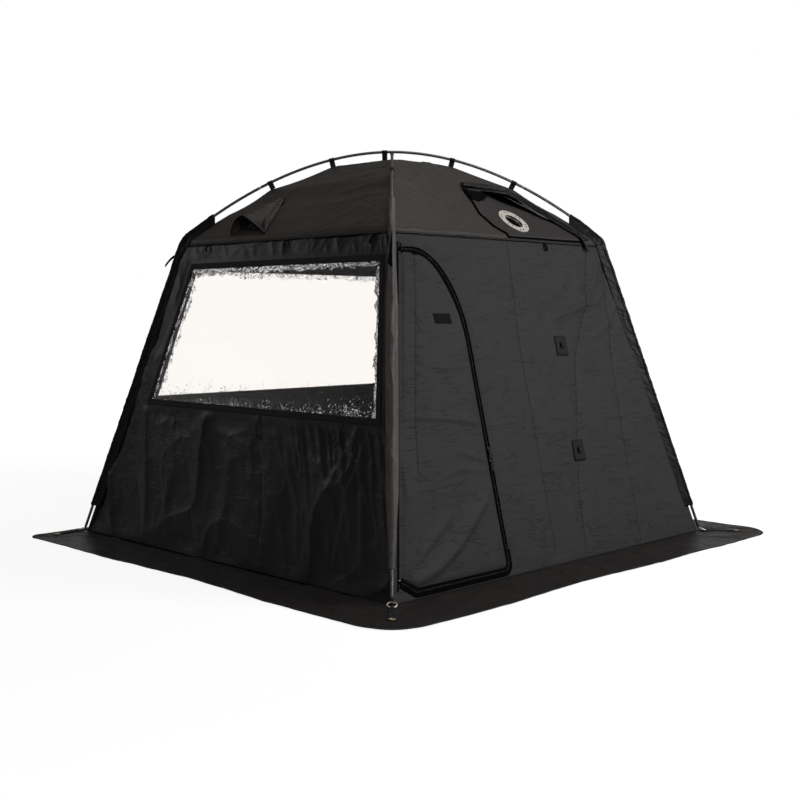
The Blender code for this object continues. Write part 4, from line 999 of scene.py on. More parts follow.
def ridge_z(r, corner=None):
    r = np.asarray(r, float)
    share = ramp(r, ROOF_BAND[1], ROOF_BAND[0] - ROOF_BAND[1])
    ends = [arch_z("upper", b) - d for b, d in zip(ROOF_BAND, (SLEEVED_DROP, HANGER_DROPS[0]))]
    band = ends[1] + share * (ends[0] - ends[1])
    drop = np.full(r.shape, HANGER_DROPS[-1])
    extra = EXTRA_SAGS[corner] if corner else (0, 0, 0)
    spans = zip(HANGERS, HANGERS[1:], HANGER_DROPS, HANGER_DROPS[1:], RIDGE_SAGS, extra)
    for outer, inner, drop_out, drop_in, sag, more in spans:
        t = (r - inner) / (outer - inner)
        hung = drop_in + t * (drop_out - drop_in) + (sag + more) * np.sin(np.pi * np.clip(t, 0, 1))
        drop = np.where((t >= 0) & (t <= 1), hung, drop)
    run_out = ends[0] + (ROOF_BAND[0] - r) * (ends[1] - ends[0]) / (ROOF_BAND[0] - ROOF_BAND[1])
    leg = (FOOT_R - SLEEVE_REACH - r) / LEG_SLOPE
    gap = np.clip(0.5 + (run_out - leg) / (2 * SHOULDER_SOFT), 0, 1)
    soft = run_out + gap * (leg - run_out) - SHOULDER_SOFT * gap * (1 - gap)
    upper = arch_z("upper", np.minimum(r, ROOF_BAND[1])) - drop
    return np.where(r > ROOF_BAND[1], np.where(r > 0.93, soft, band), upper)


ROOF_FOLDS = {
    "front": [
        ([(-0.04, 0.06), (0.06, 0.23), (0.17, 0.42)], 0.006, 0.016),
        ([(-0.2, 0.26), (0.05, 0.42)], 0.003, 0.02),
        ([(-0.42, 0.52), (-0.3, 0.64)], 0.004, 0.02),
        ([(-0.39, 0.415), (-0.14, 0.5)], 0.01, 0.012),
        ([(-0.35, 0.37), (0.0, 0.44)], 0.009, 0.012),
        ([(-0.41, 0.45), (-0.18, 0.6)], 0.009, 0.012),
        ([(-0.47, 0.5), (-0.26, 0.56), (-0.08, 0.57)], 0.009, 0.014),
    ],
    "left": [
        ([(-0.42, 0.6), (-0.1, 0.5), (0.3, 0.54)], 0.004, 0.03),
        ([(0.2, 0.68), (0.38, 0.56), (0.52, 0.6)], 0.004, 0.018),
        ([(-0.3, 0.48), (-0.05, 0.3), (0.15, 0.24)], 0.004, 0.026),
        ([(0.42, 0.69), (0.52, 0.61)], 0.01, 0.012),
        ([(0.5, 0.69), (0.58, 0.64)], 0.009, 0.01),
        ([(0.33, 0.35), (0.05, 0.4)], 0.008, 0.012),
        ([(0.4, 0.43), (0.12, 0.47)], 0.008, 0.012),
        ([(0.47, 0.5), (0.2, 0.52)], 0.007, 0.012),
    ],
    "back": [
        ([(-0.3, 0.45), (0.05, 0.33), (0.3, 0.42)], 0.005, 0.028),
        ([(0.1, 0.62), (0.45, 0.56)], 0.004, 0.02),
    ],
    "right": [
        ([(-0.3, 0.56), (0.1, 0.46), (0.35, 0.52)], 0.005, 0.028),
        ([(-0.05, 0.16), (0.06, 0.33)], 0.004, 0.018),
    ],
}
FLUE_PLACE = (0.148, 0.6155)


def off_flue(x, s):
    """0 beside the flue's hole, where the cloth lies flat, and 1 from 190 mm off its middle."""
    return np.clip(np.hypot(x - FLUE_PLACE[0], s - FLUE_PLACE[1]) / 0.1 - 0.9, 0, 1)


def roof_height(side, x, s):
    """The height of a gore's cloth at x along it and s out from the tent's axis, folds included."""
    left, right = ARMS[side]
    share = np.clip(x / np.maximum(s, 1e-6), -1, 1)
    r = s * math.sqrt(2)
    plain = ridge_z(r)
    z = plain + (ridge_z(r, left) - plain) * ((1 - share) / 2) ** 2.2
    z = z + (ridge_z(r, right) - plain) * ((1 + share) / 2) ** 2.2
    inward = (1 - np.abs(share)) * s
    calm = ramp(inward, 0, 0.05) * ramp(r, ROOF_FOOT_R, -0.03)
    if side == "front":
        calm = calm * off_flue(x, s)
    seed = 100 + 7 * list(SIDES).index(side)
    folds = 0.0014 * creases(x, s, 0.22, 0.032, seed) + 0.0008 * creases(x, s, 0.09, 0.019, seed + 1)
    folds = folds * (1 + 1.3 * bell(inward, 0.16)) + 0.004 * noise(x / 0.3, s / 0.16, seed=seed + 2)
    for line, height, width in ROOF_FOLDS[side]:
        folds = folds + fold(np.ravel(x), np.ravel(s), line, height, width).reshape(np.shape(folds))
    return z + calm * folds


def on_roof(side, x, s, out=0.0):
    """World places on a gore, out from its cloth."""
    x, s, out = [a.copy() for a in np.broadcast_arrays(np.asarray(x, float), s, out)]
    z = roof_height(side, x, s)
    d = 0.002  # the slope is taken over 4 mm
    slope_x = (roof_height(side, x + d, s) - roof_height(side, x - d, s)) / (2 * d)
    slope_s = (roof_height(side, x, s + d) - roof_height(side, x, s - d)) / (2 * d)
    way = unit(np.stack([-slope_x, slope_s, np.ones(x.shape)], axis=-1))
    return turned(side, np.stack([x, -s, z], axis=-1) + out[..., None] * way)


# Coated polyester: a duller shine than the walls, with long level creases, and the weave drawn at 1.5 mm
roof_cloth = cloth_finish(
    "coated_roof_polyester", ("#363330", "#3f3b38"), 0.5, 0.22,
    scale=(4.0, 4.0, 20.0), width=0.03, depth=0.011, thread=900.0, crease_shade_tone=0.4,
)

FLUE_CUT = (0.048, 0.0367)
ROOF_OUT = (0, -1, 1)
VENT_X = -0.228
foot_s = ROOF_FOOT_R / math.sqrt(2)
for side in SIDES:
    cuts = []
    if side == "front":
        cuts = [(bow(FLUE_PLACE, FLUE_CUT, 0, 350, 35), False)]
    if side == "left":
        hole = np.array([[-0.06, 0.598], [0.06, 0.598], [0.06, 0.656], [-0.06, 0.656]])
        cuts = [(hole + [VENT_X, 0], False)]
    piece = cloth_grid(f"roof_gore_{side}", lambda s: (-s, s), 0.0015, foot_s, 0.008, cuts)
    x, out = corners_of(piece).T[:2]
    crumple = np.clip(0.5 + 0.5 * noise(x / 0.2, out / 0.2, seed=5), 0, 1)
    hang(piece, on_roof(side, x, out), 0.0012, (0, 0, 1), crumple=crumple)
    fit(piece, roof_cloth, "roof_cloth", "tent", f"roof_{side}")

# The seam between roof and walls is a narrow rolled edge, a little wavy, in the near-black tape; its black
# line is partly painted shade under the roof's edge
seam_x = np.linspace(-0.69, 0.69, 90)
for number, side in enumerate(SIDES):
    wave = 0.0012 * noise(seam_x / 0.06, 0, seed=110 + number)
    line = on_wall(side, seam_x, slope_of(SEAM_Z) + wave - 0.001, 0.0004)
    piece = tube(f"eave_seam_{side}", line, 0.0015, FACING[side], 8, 0.015)
    fit(piece, tape_look, "webbing", "tent")

# Webbing straps
# Short doubled webbing holds each ridge to its pole. It goes round the tube, and both of its ends are sewn
# into the ridge, which hangs some 35 mm lower.
STRAP_WIDTH = 0.025
STRAP_T = 0.0014
strap_look = webbing_finish("woven_polyester_webbing", ("#161414", "#221f1f"), 0.7, 0.0016, 0.0)


def band(name, line, across, width, look, body, *nodes, thickness=STRAP_T):
    """Flat webbing along a line, with its width along across."""
    line = np.asarray(line, float)
    length = steps_along(line)[-1]
    across = unit(np.asarray(across, float))

    def place(u, v):
        spots, _ = along_of(line, v * length)
        return spots + ((u - 0.5) * width)[:, None] * across

    piece = skin(name, 6, max(4, round(length / 0.003)), place, (width, length))
    thicken(piece, thickness, 0.0)
    return fit(piece, look, "webbing", body, *nodes)


def hanger(name, corner, r, node_name):
    pole = POLE_OF[corner]
    angle = float(arch_angle(pole, r))
    out, side = outward_of(corner), sideways_of(corner)
    along = out * math.cos(angle) - np.array([0, 0, math.sin(angle)])
    over = out * math.sin(angle) + np.array([0, 0, math.cos(angle)])
    centre = around(corner, r, arch_z(pole, r))
    fall = float(arch_z(pole, r) - ridge_z(r, corner)) * math.cos(angle) + 0.002
    reach = POLE_R + 0.0018  # the strap's middle lies 1.8 mm over the tube
    spread = 0.0011  # and its two ends 2.2 mm from each other below it
    lean = math.asin(spread / reach)
    turns = np.linspace(-math.pi / 2 + lean, 1.5 * math.pi - lean, 26)
    loop = [centre + reach * (math.cos(t) * side + math.sin(t) * over) for t in turns]
    ends = [centre + s * spread * side - fall * over for s in (1, -1)]
    line = even_steps(np.array([ends[0], *loop, ends[1]]), 0.0015)
    return band(name, line, along, STRAP_WIDTH, strap_look, "tent", node_name, thickness=0.0012)


for corner in CORNERS:
    for number, r in enumerate(HANGERS[1:3], 1):
        hanger(f"hanging_strap_{corner}_{number}", corner, r, f"pole_strap_{corner}_{number}")
hanger("hanging_strap_crown", "back_left", HANGERS[3], "crown_strap")

# Flue panel
# A smoother panel is sewn on the front gore with a black binding. A flat steel ring is riveted through it
# round the hole, with its twin inside, and the cover that closes it is rolled up above and held there.
PANEL_ACROSS = [0.004, -0.008, -0.046, -0.03, 0.016, 0.548, 0.45, 0.405, 0.355, 0.29]
PANEL_DOWN = [0.436, 0.5, 0.581, 0.645, 0.6955, 0.6955, 0.595, 0.53, 0.475, 0.436]
PANEL_PLAN = np.stack([PANEL_ACROSS, PANEL_DOWN], axis=1)
ROLL_ACROSS = [0.006, 0.12, 0.215, 0.298, 0.365, 0.416, 0.462, 0.512, 0.558, 0.592]
ROLL_LEAN = (0, -0.64, 0.76)
ROLL_DOWN = [0.428, 0.426, 0.424, 0.427, 0.47, 0.527, 0.588, 0.641, 0.677, 0.6935]
# Smooth coated panel cloth, a shade lighter than the roof
panel_cloth = cloth_finish(
    "smooth_panel_polyester", ("#302e2d", "#363332"), 0.5, 0.2,
    scale=(6.0, 6.0, 22.0), width=0.05, depth=0.003, thread=900.0, crease_shade_tone=0.15,
)
cuts = [(PANEL_PLAN, True), (bow(FLUE_PLACE, FLUE_CUT, 0, 350, 35), False)]
piece = cloth_grid("flue_panel_cloth", lambda s: (-0.05, 0.56), 0.43, 0.6955, 0.006, cuts)
x, s = corners_of(piece).T[:2]
_, gap = nearest(closed(PANEL_PLAN), x, s)
swell = 0.004 * noise(x / 0.12, s / 0.1, seed=121) + 0.003
hang(piece, on_roof("front", x, s, 0.002 + off_flue(x, s) * ramp(gap, 0, 0.03) * swell), 0.001, ROOF_OUT)
fit(piece, panel_cloth, "panel_cloth", "tent", "flue_panel")

line = on_roof("front", *even_steps(PANEL_PLAN[:6], 0.006).T, 0.003)
piece = tube("flue_panel_binding", line, 0.0045, ROLL_LEAN, 10, 0.006)
fit(piece, tape_look, "webbing", "tent")

# The cover's loose corner hangs out under the roll as a wavy flap; its near-black tape cloth is partly
# painted shade under the roll
FLAP_ACROSS = [0.008, 0.002, 0.03, 0.075, 0.12, 0.185, 0.23]
FLAP_DOWN = [0.44, 0.492, 0.508, 0.498, 0.476, 0.452, 0.44]
cuts = [(np.stack([FLAP_ACROSS, FLAP_DOWN], axis=1), True)]
piece = cloth_grid("cover_corner", lambda s: (0.0, 0.235), 0.436, 0.512, 0.005, cuts)
x, s = corners_of(piece).T[:2]
lift = 0.0085 + 0.007 * ramp(s, 0.44, 0.06) * (1 + noise(x / 0.035, s / 0.1, seed=125))
hang(piece, on_roof("front", x, s, lift), 0.0012, ROOF_OUT)
fit(piece, tape_look, "panel_cloth", "tent")


def rolled(seed, height):
    def swell(along, angle):
        grooves = 0.0014 * noise(angle * 1.1 + along * 4, along / 0.2, seed=seed)
        dents = 0.001 * noise(np.cos(angle) * 1.5, np.sin(angle) * 1.5, along / 0.03, seed=seed + 1)
        ends = np.minimum(along, along.max() - along)
        return grooves + dents - 0.45 * height * bell(ends, 0.02)

    return swell


# The cover's cloth is thin and dark and shines where it is rolled tight
cover_cloth = cloth_finish(
    "rolled_cover_polyester", ("#151413", "#1e1c1b"), 0.42, 0.24,
    scale=(20.0, 20.0, 40.0), width=0.04, depth=0.004, thread=900.0, crease_shade_tone=0.3,
)
roll_run = even_steps(np.stack([ROLL_ACROSS, ROLL_DOWN], axis=1), 0.008)
line = on_roof("front", *roll_run.T, 0.012)
piece = tube("rolled_cover", line, 0.01, ROLL_LEAN, 20, 0.005, rolled(131, 0.01))
fit(piece, cover_cloth, "webbing", "tent", "flue_cover_roll")
for number, (aside, out, radius) in enumerate(((0.019, 0.009, 0.008), (-0.016, 0.0075, 0.0065))):
    line = on_roof("front", *beside(roll_run, aside)[2:-1].T, out)
    swell = rolled(135 + number, radius)
    piece = tube(f"rolled_cover_turn_{number}", line, radius, ROLL_LEAN, 16, 0.005, swell)
    fit(piece, cover_cloth, "webbing", "tent")

# Brushed steel: fine marks run round the ring. Its pale warm colour, with only part metal shine, is painted
# reflection of the lights
steel, tree, shader, where = finish_of("brushed_stainless_steel", "#f0e7de", 0.36, 0.4)
brushed = grain_of(tree, shader, where, "TexNoise", {"Scale": 420.0, "Detail": 3.0}, 0.12, 0.0005)
spread = {"Value": brushed, "From Min": 0.3, "From Max": 0.7, "To Min": 0.26, "To Max": 0.46}
wire(shader, {"Roughness": node(tree, "MapRange", spread)})
for name in ("flue_ring", "flue_ring_backing", *[f"ring_pin_{corner}" for corner in CORNERS]):
    repaint(name, steel)

# Dark pressed rivets hold the ring, two and two between short slots
rivet_look, tree, shader, where = finish_of("blackened_steel_rivet", "#4a3f38", 0.45, 0.8)
grain_of(tree, shader, where, "TexNoise", {"Scale": 900.0}, 0.2, 0.0004)
FLUE_CENTRE = np.array([FLUE_PLACE[0], -0.5155, 1.4542])
FLUE_UP = np.array([0.0, 0.7651, 0.6439])
FLUE_OUT = np.array([0.0, -0.6439, 0.7651])
FLUE_ACROSS = np.array([1.0, 0.0, 0.0])
RING_FACE = 0.0056
RIVET_CIRCLE_R = 0.0635
RIVET_R = 0.0036
bm = bmesh.new()
for turn in [math.radians(30 + 60 * number) + lean for number in range(6) for lean in (-0.16, 0.16)]:
    spot = FLUE_CENTRE + RIVET_CIRCLE_R * (math.cos(turn) * FLUE_ACROSS + math.sin(turn) * FLUE_UP)
    spot = spot + RING_FACE * FLUE_OUT
    for vert in bmesh.ops.create_uvsphere(bm, u_segments=12, v_segments=8, radius=1.0)["verts"]:
        flat_way = vert.co.x * RIVET_R * FLUE_ACROSS + vert.co.y * RIVET_R * FLUE_UP
        vert.co = Vector(spot + flat_way + max(vert.co.z * 0.0022, -0.0006) * FLUE_OUT)
piece = write_mesh("flue_ring_rivets", bm)
fit(piece, rivet_look, "steel", "tent")

# Roof vent
# A stiffened hood of roof cloth, like half a cone, is sewn over a netted hole in the left gore. Its mouth
# is a bound arch, and its back has fallen in to a deep fold.
VENT_HALF = 0.12
VENT_RISE = 0.064
VENT_LENGTH = 0.275
VENT_FOOT_UP = 0.003
VENT_AXES = (
    np.array([-0.6859, 0.1, 1.3949]),
    np.array([0.0, -1.0, 0.0]),
    np.array([0.7651, 0.0, 0.6439]),
    np.array([-0.6439, 0.0, 0.7651]),
)


def at_vent(across, up, out):
    origin, ex, ey, ez = VENT_AXES
    return origin + across[:, None] * ex + up[:, None] * ey + out[:, None] * ez


def hood_place(u, v):
    """The fallen hood: u runs over the arch of its mouth and v from the mouth to the point."""
    a = -np.cos(np.pi * u)
    late = ramp(v, 0, 0.25) ** 2 * (3 - 2 * ramp(v, 0, 0.25))
    top = -0.25 + 0.1 * v
    foot = 1.0 - 0.55 * late - 0.08 * v
    rising = np.sqrt(np.clip(1 - ((a - top) / (1 + top)) ** 2, 0, 1))
    falling = np.clip(1 - (a - top) / (foot - top), 0, 1) ** 0.85
    hump = np.where(a < top, rising, falling)
    ridge = 0.46 * late * np.sin(np.pi * np.clip((a - foot) / np.maximum(1 - foot, 1e-6), 0, 1)) ** 0.8
    height = np.maximum(hump, np.where(a > foot, ridge, 0))
    arch_rise = np.where(v < 1e-9, hump, height) * VENT_RISE * 1.06
    rise = arch_rise * (1 - v) ** 0.75
    rise = rise + 0.004 * noise(u * 6, v * 5, seed=141) * np.sin(np.pi * u) * np.clip(v * 6, 0, 1)
    across = VENT_HALF * a * (0.05 + 0.95 * (1 - v) ** 0.85)
    up = VENT_FOOT_UP + v * VENT_LENGTH + 0.8 * arch_rise * (1 - v) ** 2
    return at_vent(VENT_X + across, up, np.maximum(rise, 0.0) + 0.0006)


piece = skin("vent_hood_cloth", 56, 44, hood_place, (0.3, 0.28), (-1, 0, 1))
mark(piece, "crumple", 0.8)
thicken(piece, 0.0014)
fit(piece, roof_cloth, "roof_cloth", "tent", "vent_hood")

line = hood_place(np.linspace(0.01, 0.99, 50), np.zeros(50))
piece = tube("vent_mouth_binding", line, 0.0024, (0.5, 0.1, 0.8), 8, 0.006)
fit(piece, tape_look, "webbing", "tent")
for name, edge in (("near", 0.995), ("far", 0.005)):
    line = hood_place(np.full(40, edge), np.linspace(0, 1, 40))
    piece = tube(f"vent_edge_{name}", line, 0.002, (-0.64, 0, 0.76), 8, 0.008)
    fit(piece, tape_look, "webbing", "tent")

# Insect net under the hood: fine black cords, drawn 4 mm apart
net_look, tree, shader, where = finish_of("knotted_insect_net", "#101010", 0.8)
grain_of(tree, shader, where, "TexNoise", {"Scale": 1500.0}, 0.3, 0.0003)


def net_place(u, v):
    return on_roof("left", VENT_X + (u - 0.5) * 0.132, 0.627 + (v - 0.5) * 0.07, -0.0026)


piece = skin("vent_net_cloth", 33, 22, net_place, (0.132, 0.092), (-1, 0, 1))
cords = piece.modifiers.new("cords", "WIREFRAME")
cords.thickness = 0.0007
fit(piece, net_look, "insect_net", "tent", "vent_net")

# Ground skirt
# A flap of plain coated cloth sewn to the walls' feet lies on the ground and is pegged at its corners. It
# ripples, its outer edge wanders and has a narrow rolled hem, and the back flap is folded under.
SKIRT_OUT = 1.31
SKIRT_CORNER_R = 0.17
FOLD_OUT = 1.11
BACK_CORNER_R = 0.06
SKIRT_T = 0.004
EYELETS = {"front": (1.175, -1.175), "back": (1.19, 1.055)}
SKIRT_BEND = SKIRT_OUT - SKIRT_CORNER_R
BACK_BEND = (SKIRT_OUT - BACK_CORNER_R, FOLD_OUT - BACK_CORNER_R)
SKIRT_EDGE = np.vstack(
    [
        [[-1.0, FOLD_OUT]],
        bow((-BACK_BEND[0], BACK_BEND[1]), (BACK_CORNER_R, BACK_CORNER_R), 90, 180, 12),
        bow((-SKIRT_BEND, -SKIRT_BEND), (SKIRT_CORNER_R, SKIRT_CORNER_R), 180, 270, 20),
        bow((SKIRT_BEND, -SKIRT_BEND), (SKIRT_CORNER_R, SKIRT_CORNER_R), 270, 360, 20),
        bow(BACK_BEND, (BACK_CORNER_R, BACK_CORNER_R), 0, 90, 12),
        [[1.0, FOLD_OUT]],
    ]
)
# Thin coated cloth, folded often: sharp wrinkles every 40 mm or so, brown-black with a little shine
skirt_cloth = cloth_finish(
    "coated_skirt_polyester", ("#242221", "#322f2d"), 0.45, 0.14,
    scale=(9.0, 9.0, 9.0), width=0.05, depth=0.01, thread=700.0, crease_shade_tone=0.35,
)


def edge_wave(along):
    known = [-1.32, -1.225, -0.994, -0.718, -0.45, -0.227, 0.0, 0.3, 0.6, 0.9, 1.1, 1.32]
    waves = [0.0, 0.004, 0.007, 0.008, -0.01, -0.022, -0.014, 0.002, -0.008, 0.004, -0.004, 0.0]
    return np.interp(along, known, waves)


def skirt_places(x, y):
    """World places of the skirt's cloth, with its edge drawn in and out and its ripples."""
    _, edge = nearest(SKIRT_EDGE, x, y)
    share_x, share_y = [ramp(out, WALL_FOOT, SKIRT_OUT - WALL_FOOT) ** 1.5 for out in (np.abs(x), -y)]
    wave_x = np.minimum(edge_wave(y * 0.9 - 0.1), 0.006)
    ripple = 0.0042 * noise(x / 0.13, y / 0.13, seed=41) + 0.0026 * noise(x / 0.05, y / 0.06, seed=42)
    ripple = ripple + 0.0022 * ridged(noise(x / 0.07 + y / 0.18, y / 0.07, seed=43))
    hem = 0.0018 * bell(edge - 0.008, 0.006)
    z = np.maximum(SKIRT_T - 0.0003 + ripple * ramp(edge, 0, 0.03, 0.25), 0.002) + hem
    for ex, ey in EYELETS.values():
        z = z + bell(np.hypot(np.abs(x) - ex, y - ey), 0.05, 4) * (SKIRT_T - z)
    run = np.hypot(np.abs(x), y) / math.sqrt(2)
    strip = bell(np.abs(np.abs(x) - np.abs(y)), 0.06, 4) * (run > 1.03) * (y < 0.6)
    z = z + strip * np.minimum(SKIRT_T + 0.0002 - z, 0) + 0.003 * (bell(FOLD_OUT - y, 0.035, 4) * (x < 0))
    east = x + np.sign(x) * share_x * wave_x
    return np.stack([east, y - share_y * edge_wave(x) + CENTRE_Y, z], axis=1)


def ring_of(centre, radius, steps=12):
    return bow(centre, (radius, radius), 0, 360 - 360 / steps, steps - 1)


inner = WALL_FOOT - 0.003
for sign, side in ((1, "right"), (-1, "left"), (0, "front")):
    low, high, far, cuts, size = -inner, inner, -inner, (), (2.08, 0.27)
    if sign:
        outline = np.vstack([[[1.0, -SKIRT_OUT]], SKIRT_EDGE[35:-1], [[1.0, FOLD_OUT]]]) * [sign, 1]
        cuts = [(outline, True)] + [(ring_of((sign * ex, ey), 0.007), False) for ex, ey in EYELETS.values()]
        low, high = sorted((sign * inner, sign * SKIRT_OUT))
        far, size = FOLD_OUT, (0.27, 2.42)
    piece = cloth_grid(f"skirt_flap_{side}", lambda v: (low, high), -SKIRT_OUT, far, 0.009, cuts)
    hang(piece, skirt_places(*corners_of(piece).T[:2]), 0.0014, (0, 0, 1), crumple=1.0)
    fit(piece, skirt_cloth, "skirt_cloth", "tent", f"skirt_{side}")

FOLD_HALF = 1.0277
FOLD_R = 0.0035  # the folded edge's bend
FOLD_LINE = FOLD_OUT - 0.005
piece = cloth_grid("skirt_flap_back", lambda v: (-FOLD_HALF, FOLD_HALF), 0.0, 0.315, 0.009)
x, run = corners_of(piece).T[:2]
over = FOLD_LINE - inner
bend = math.pi * FOLD_R
turn = ramp(run, over, bend) * math.pi
y = np.where(run < over, inner + run, FOLD_LINE - np.maximum(run - over - bend, 0))
y = y + 0.004 * np.sin(turn) + 0.003 * noise(x / 0.2, 0, seed=53) * ramp(run, 0, over)
z = 0.0052 + FOLD_R * np.cos(turn) + 0.0007 * noise(x / 0.08, run / 0.06, seed=52)
hang(piece, np.stack([x, y + CENTRE_Y, z], axis=1), 0.0012, crumple=1.0)
fit(piece, skirt_cloth, "skirt_cloth", "tent", "skirt_back")

# Corner cloth
# At each corner a strip of light cloth wraps the pole and is sewn to both walls and, higher up, to the
# ridge. It is longer than the corner, so it gathers in rings and slanting folds and bunches at the shoulder.
CLOTH_R = 0.0112
CLOTH_FOOT_Z = 0.13
CLOTH_TOP_R = 0.84
WRAP_HALF = np.radians(105)
POLE_SHARE = 0.22  # of the strip's width, on each side of its middle, that goes round the pole
NEIGHBOURS = {
    "front_left": ("front", "left"),
    "front_right": ("right", "front"),
    "back_right": ("back", "right"),
    "back_left": ("left", "back"),
}
# Crinkled polyester, brown-black with light rims along its folds
sleeve_cloth = cloth_finish(
    "gathered_corner_polyester", ("#100e0d", "#181514"), 0.48, 0.16,
    scale=(25.0, 25.0, 25.0), width=0.05, depth=0.003, thread=700.0, crease_shade_tone=0.3,
)
# The same cloth at the nearest corner, less gathered; its paler tones are painted light, where the lamps fall
# on this corner
lit_pale_sleeve = cloth_finish(
    "lit_smooth_corner_polyester", ("#565250", "#66615e"), 0.46, 0.22,
    scale=(30.0, 30.0, 9.0), width=0.04, depth=0.003, thread=700.0, crease_shade_tone=0.3,
)
foot_tilt = math.cos(LEG_TILT)
for number, corner in enumerate(CORNERS):
    centre_line = even_steps(pole_line(corner, CLOTH_FOOT_Z, CLOTH_TOP_R), 0.004)
    length = steps_along(centre_line)[-1]
    leg_run = (SHOULDER_Z - CLOTH_FOOT_Z) / foot_tilt
    near = corner == "front_left"
    wing = 0.013 if near else 0.04
    wings_up = np.array([0.014, 0.034, 0.034, 0.013]) if near else wing
    knots = []
    for sign, side in zip((-1, 1), NEIGHBOURS[corner]):
        z = np.array([CLOTH_FOOT_Z, 0.4, 1.08, SEAM_Z - 0.03])
        v = slope_of(z)
        wall_run = (z - CLOTH_FOOT_Z) / foot_tilt
        wall_line = on_wall(side, sign * (half_wall(v) - wings_up), v, 0.0014)
        seam = on_wall(side, sign * (half_wall(slope_of(SEAM_Z)) - wing), slope_of(SEAM_Z), 0.0035)[None]
        r = np.linspace(0.945, CLOTH_TOP_R, 9)
        spread = np.interp(r, [CLOTH_TOP_R, 0.945], (0.008, 0.013) if near else (0.026, 0.034))
        roof_line = on_roof(side, sign * (r - spread) / math.sqrt(2), (r + spread) / math.sqrt(2), 0.0016)
        runs = np.concatenate([wall_run, [leg_run - 0.012], leg_run + (SHOULDER_R - r) * 1.05])
        knots.append((runs, np.vstack([wall_line, seam, roof_line])))
    side_way = sideways_of(corner)
    out_way = outward_of(corner)

    def bare(u, along):
        """The strip without its folds: u runs over one wing, round the pole and over the other wing."""
        spots, ways = along_of(centre_line, np.clip(along, 0, length))
        centre = around(corner, *spots.T)
        over = ways[:, 1, None] * out_way - ways[:, 0, None] * np.array([0, 0, 1.0])
        turn = WRAP_HALF * np.clip((u - 0.5) / POLE_SHARE, -1, 1)
        ring = centre + CLOTH_R * (np.cos(turn)[:, None] * over + np.sin(turn)[:, None] * side_way)
        share = ramp(np.abs(u - 0.5), POLE_SHARE, 0.5 - POLE_SHARE)[:, None]
        ends = [np.stack([np.interp(along, runs, part) for part in line.T], axis=1) for runs, line in knots]
        edge = np.where((u > 0.5)[:, None], *ends)
        return ring + share * (edge - ring)

    def gathered(u, v):
        along = v * length
        e = 0.004  # the strip's outward way is taken over this much of its width and length
        across = bare(u + e, along) - bare(u - e, along)
        onward = bare(u, along + e) - bare(u, along - e)
        way = unit(np.cross(across, onward))
        middle = bare(u, along)
        outer = np.sum(way * (middle - around(corner, [0.0], 0.9)), axis=1)
        way = way * np.sign(outer)[:, None]
        near_top = bell(along - leg_run, 0.085)
        s = 60 + 10 * number
        swing = u * 2.2
        if near:
            slant = noise(along / 0.16 + 1.9 * u, 5.2 * u - along / 0.5, seed=s)
            rings = noise(along / 0.035, 1.5 * u, seed=s + 1)
            relief = 0.0036 * ridged(slant) + 0.001 * rings
        else:
            rings = noise(along / 0.022 + 2.2 * u, swing, seed=s)
            slant = noise(along / 0.06 + 2.6 * u, 3.0 * u - along / 0.16, seed=s + 1)
            relief = 0.0011 * (1 - 2 * np.abs(rings)) + 0.0017 * ridged(slant)
        bunch = noise(along / 0.035 + 2 * u, swing * 1.2, seed=s + 2)
        bunch = bunch + 0.5 * noise(along / 0.016, swing * 2, seed=s + 3)
        relief = relief + near_top * (0.0015 if near else 0.0038) * bunch
        rim = ramp(np.minimum(u, 1 - u), 0, 0.1)
        relief = relief * (0.15 + 0.85 * rim) * np.clip((np.abs(u - 0.5) - 0.02) / 0.25 + 0.75, 0, 1)
        floor = -0.003 - 0.02 * np.clip(np.abs(u - 0.5) - 0.24, 0, 1)
        return middle + np.maximum(relief, floor * (0.3 + 0.7 * rim))[:, None] * way

    steps = round(length / 0.0042)
    piece = skin(f"corner_cloth_{corner}", 44, steps, gathered, (0.12, length), out_way)
    mark(piece, "crumple", 1.0)
    thicken(piece, 0.0009)
    fit(piece, lit_pale_sleeve if near else sleeve_cloth, "sleeve_cloth", "tent", f"pole_sleeve_{corner}")

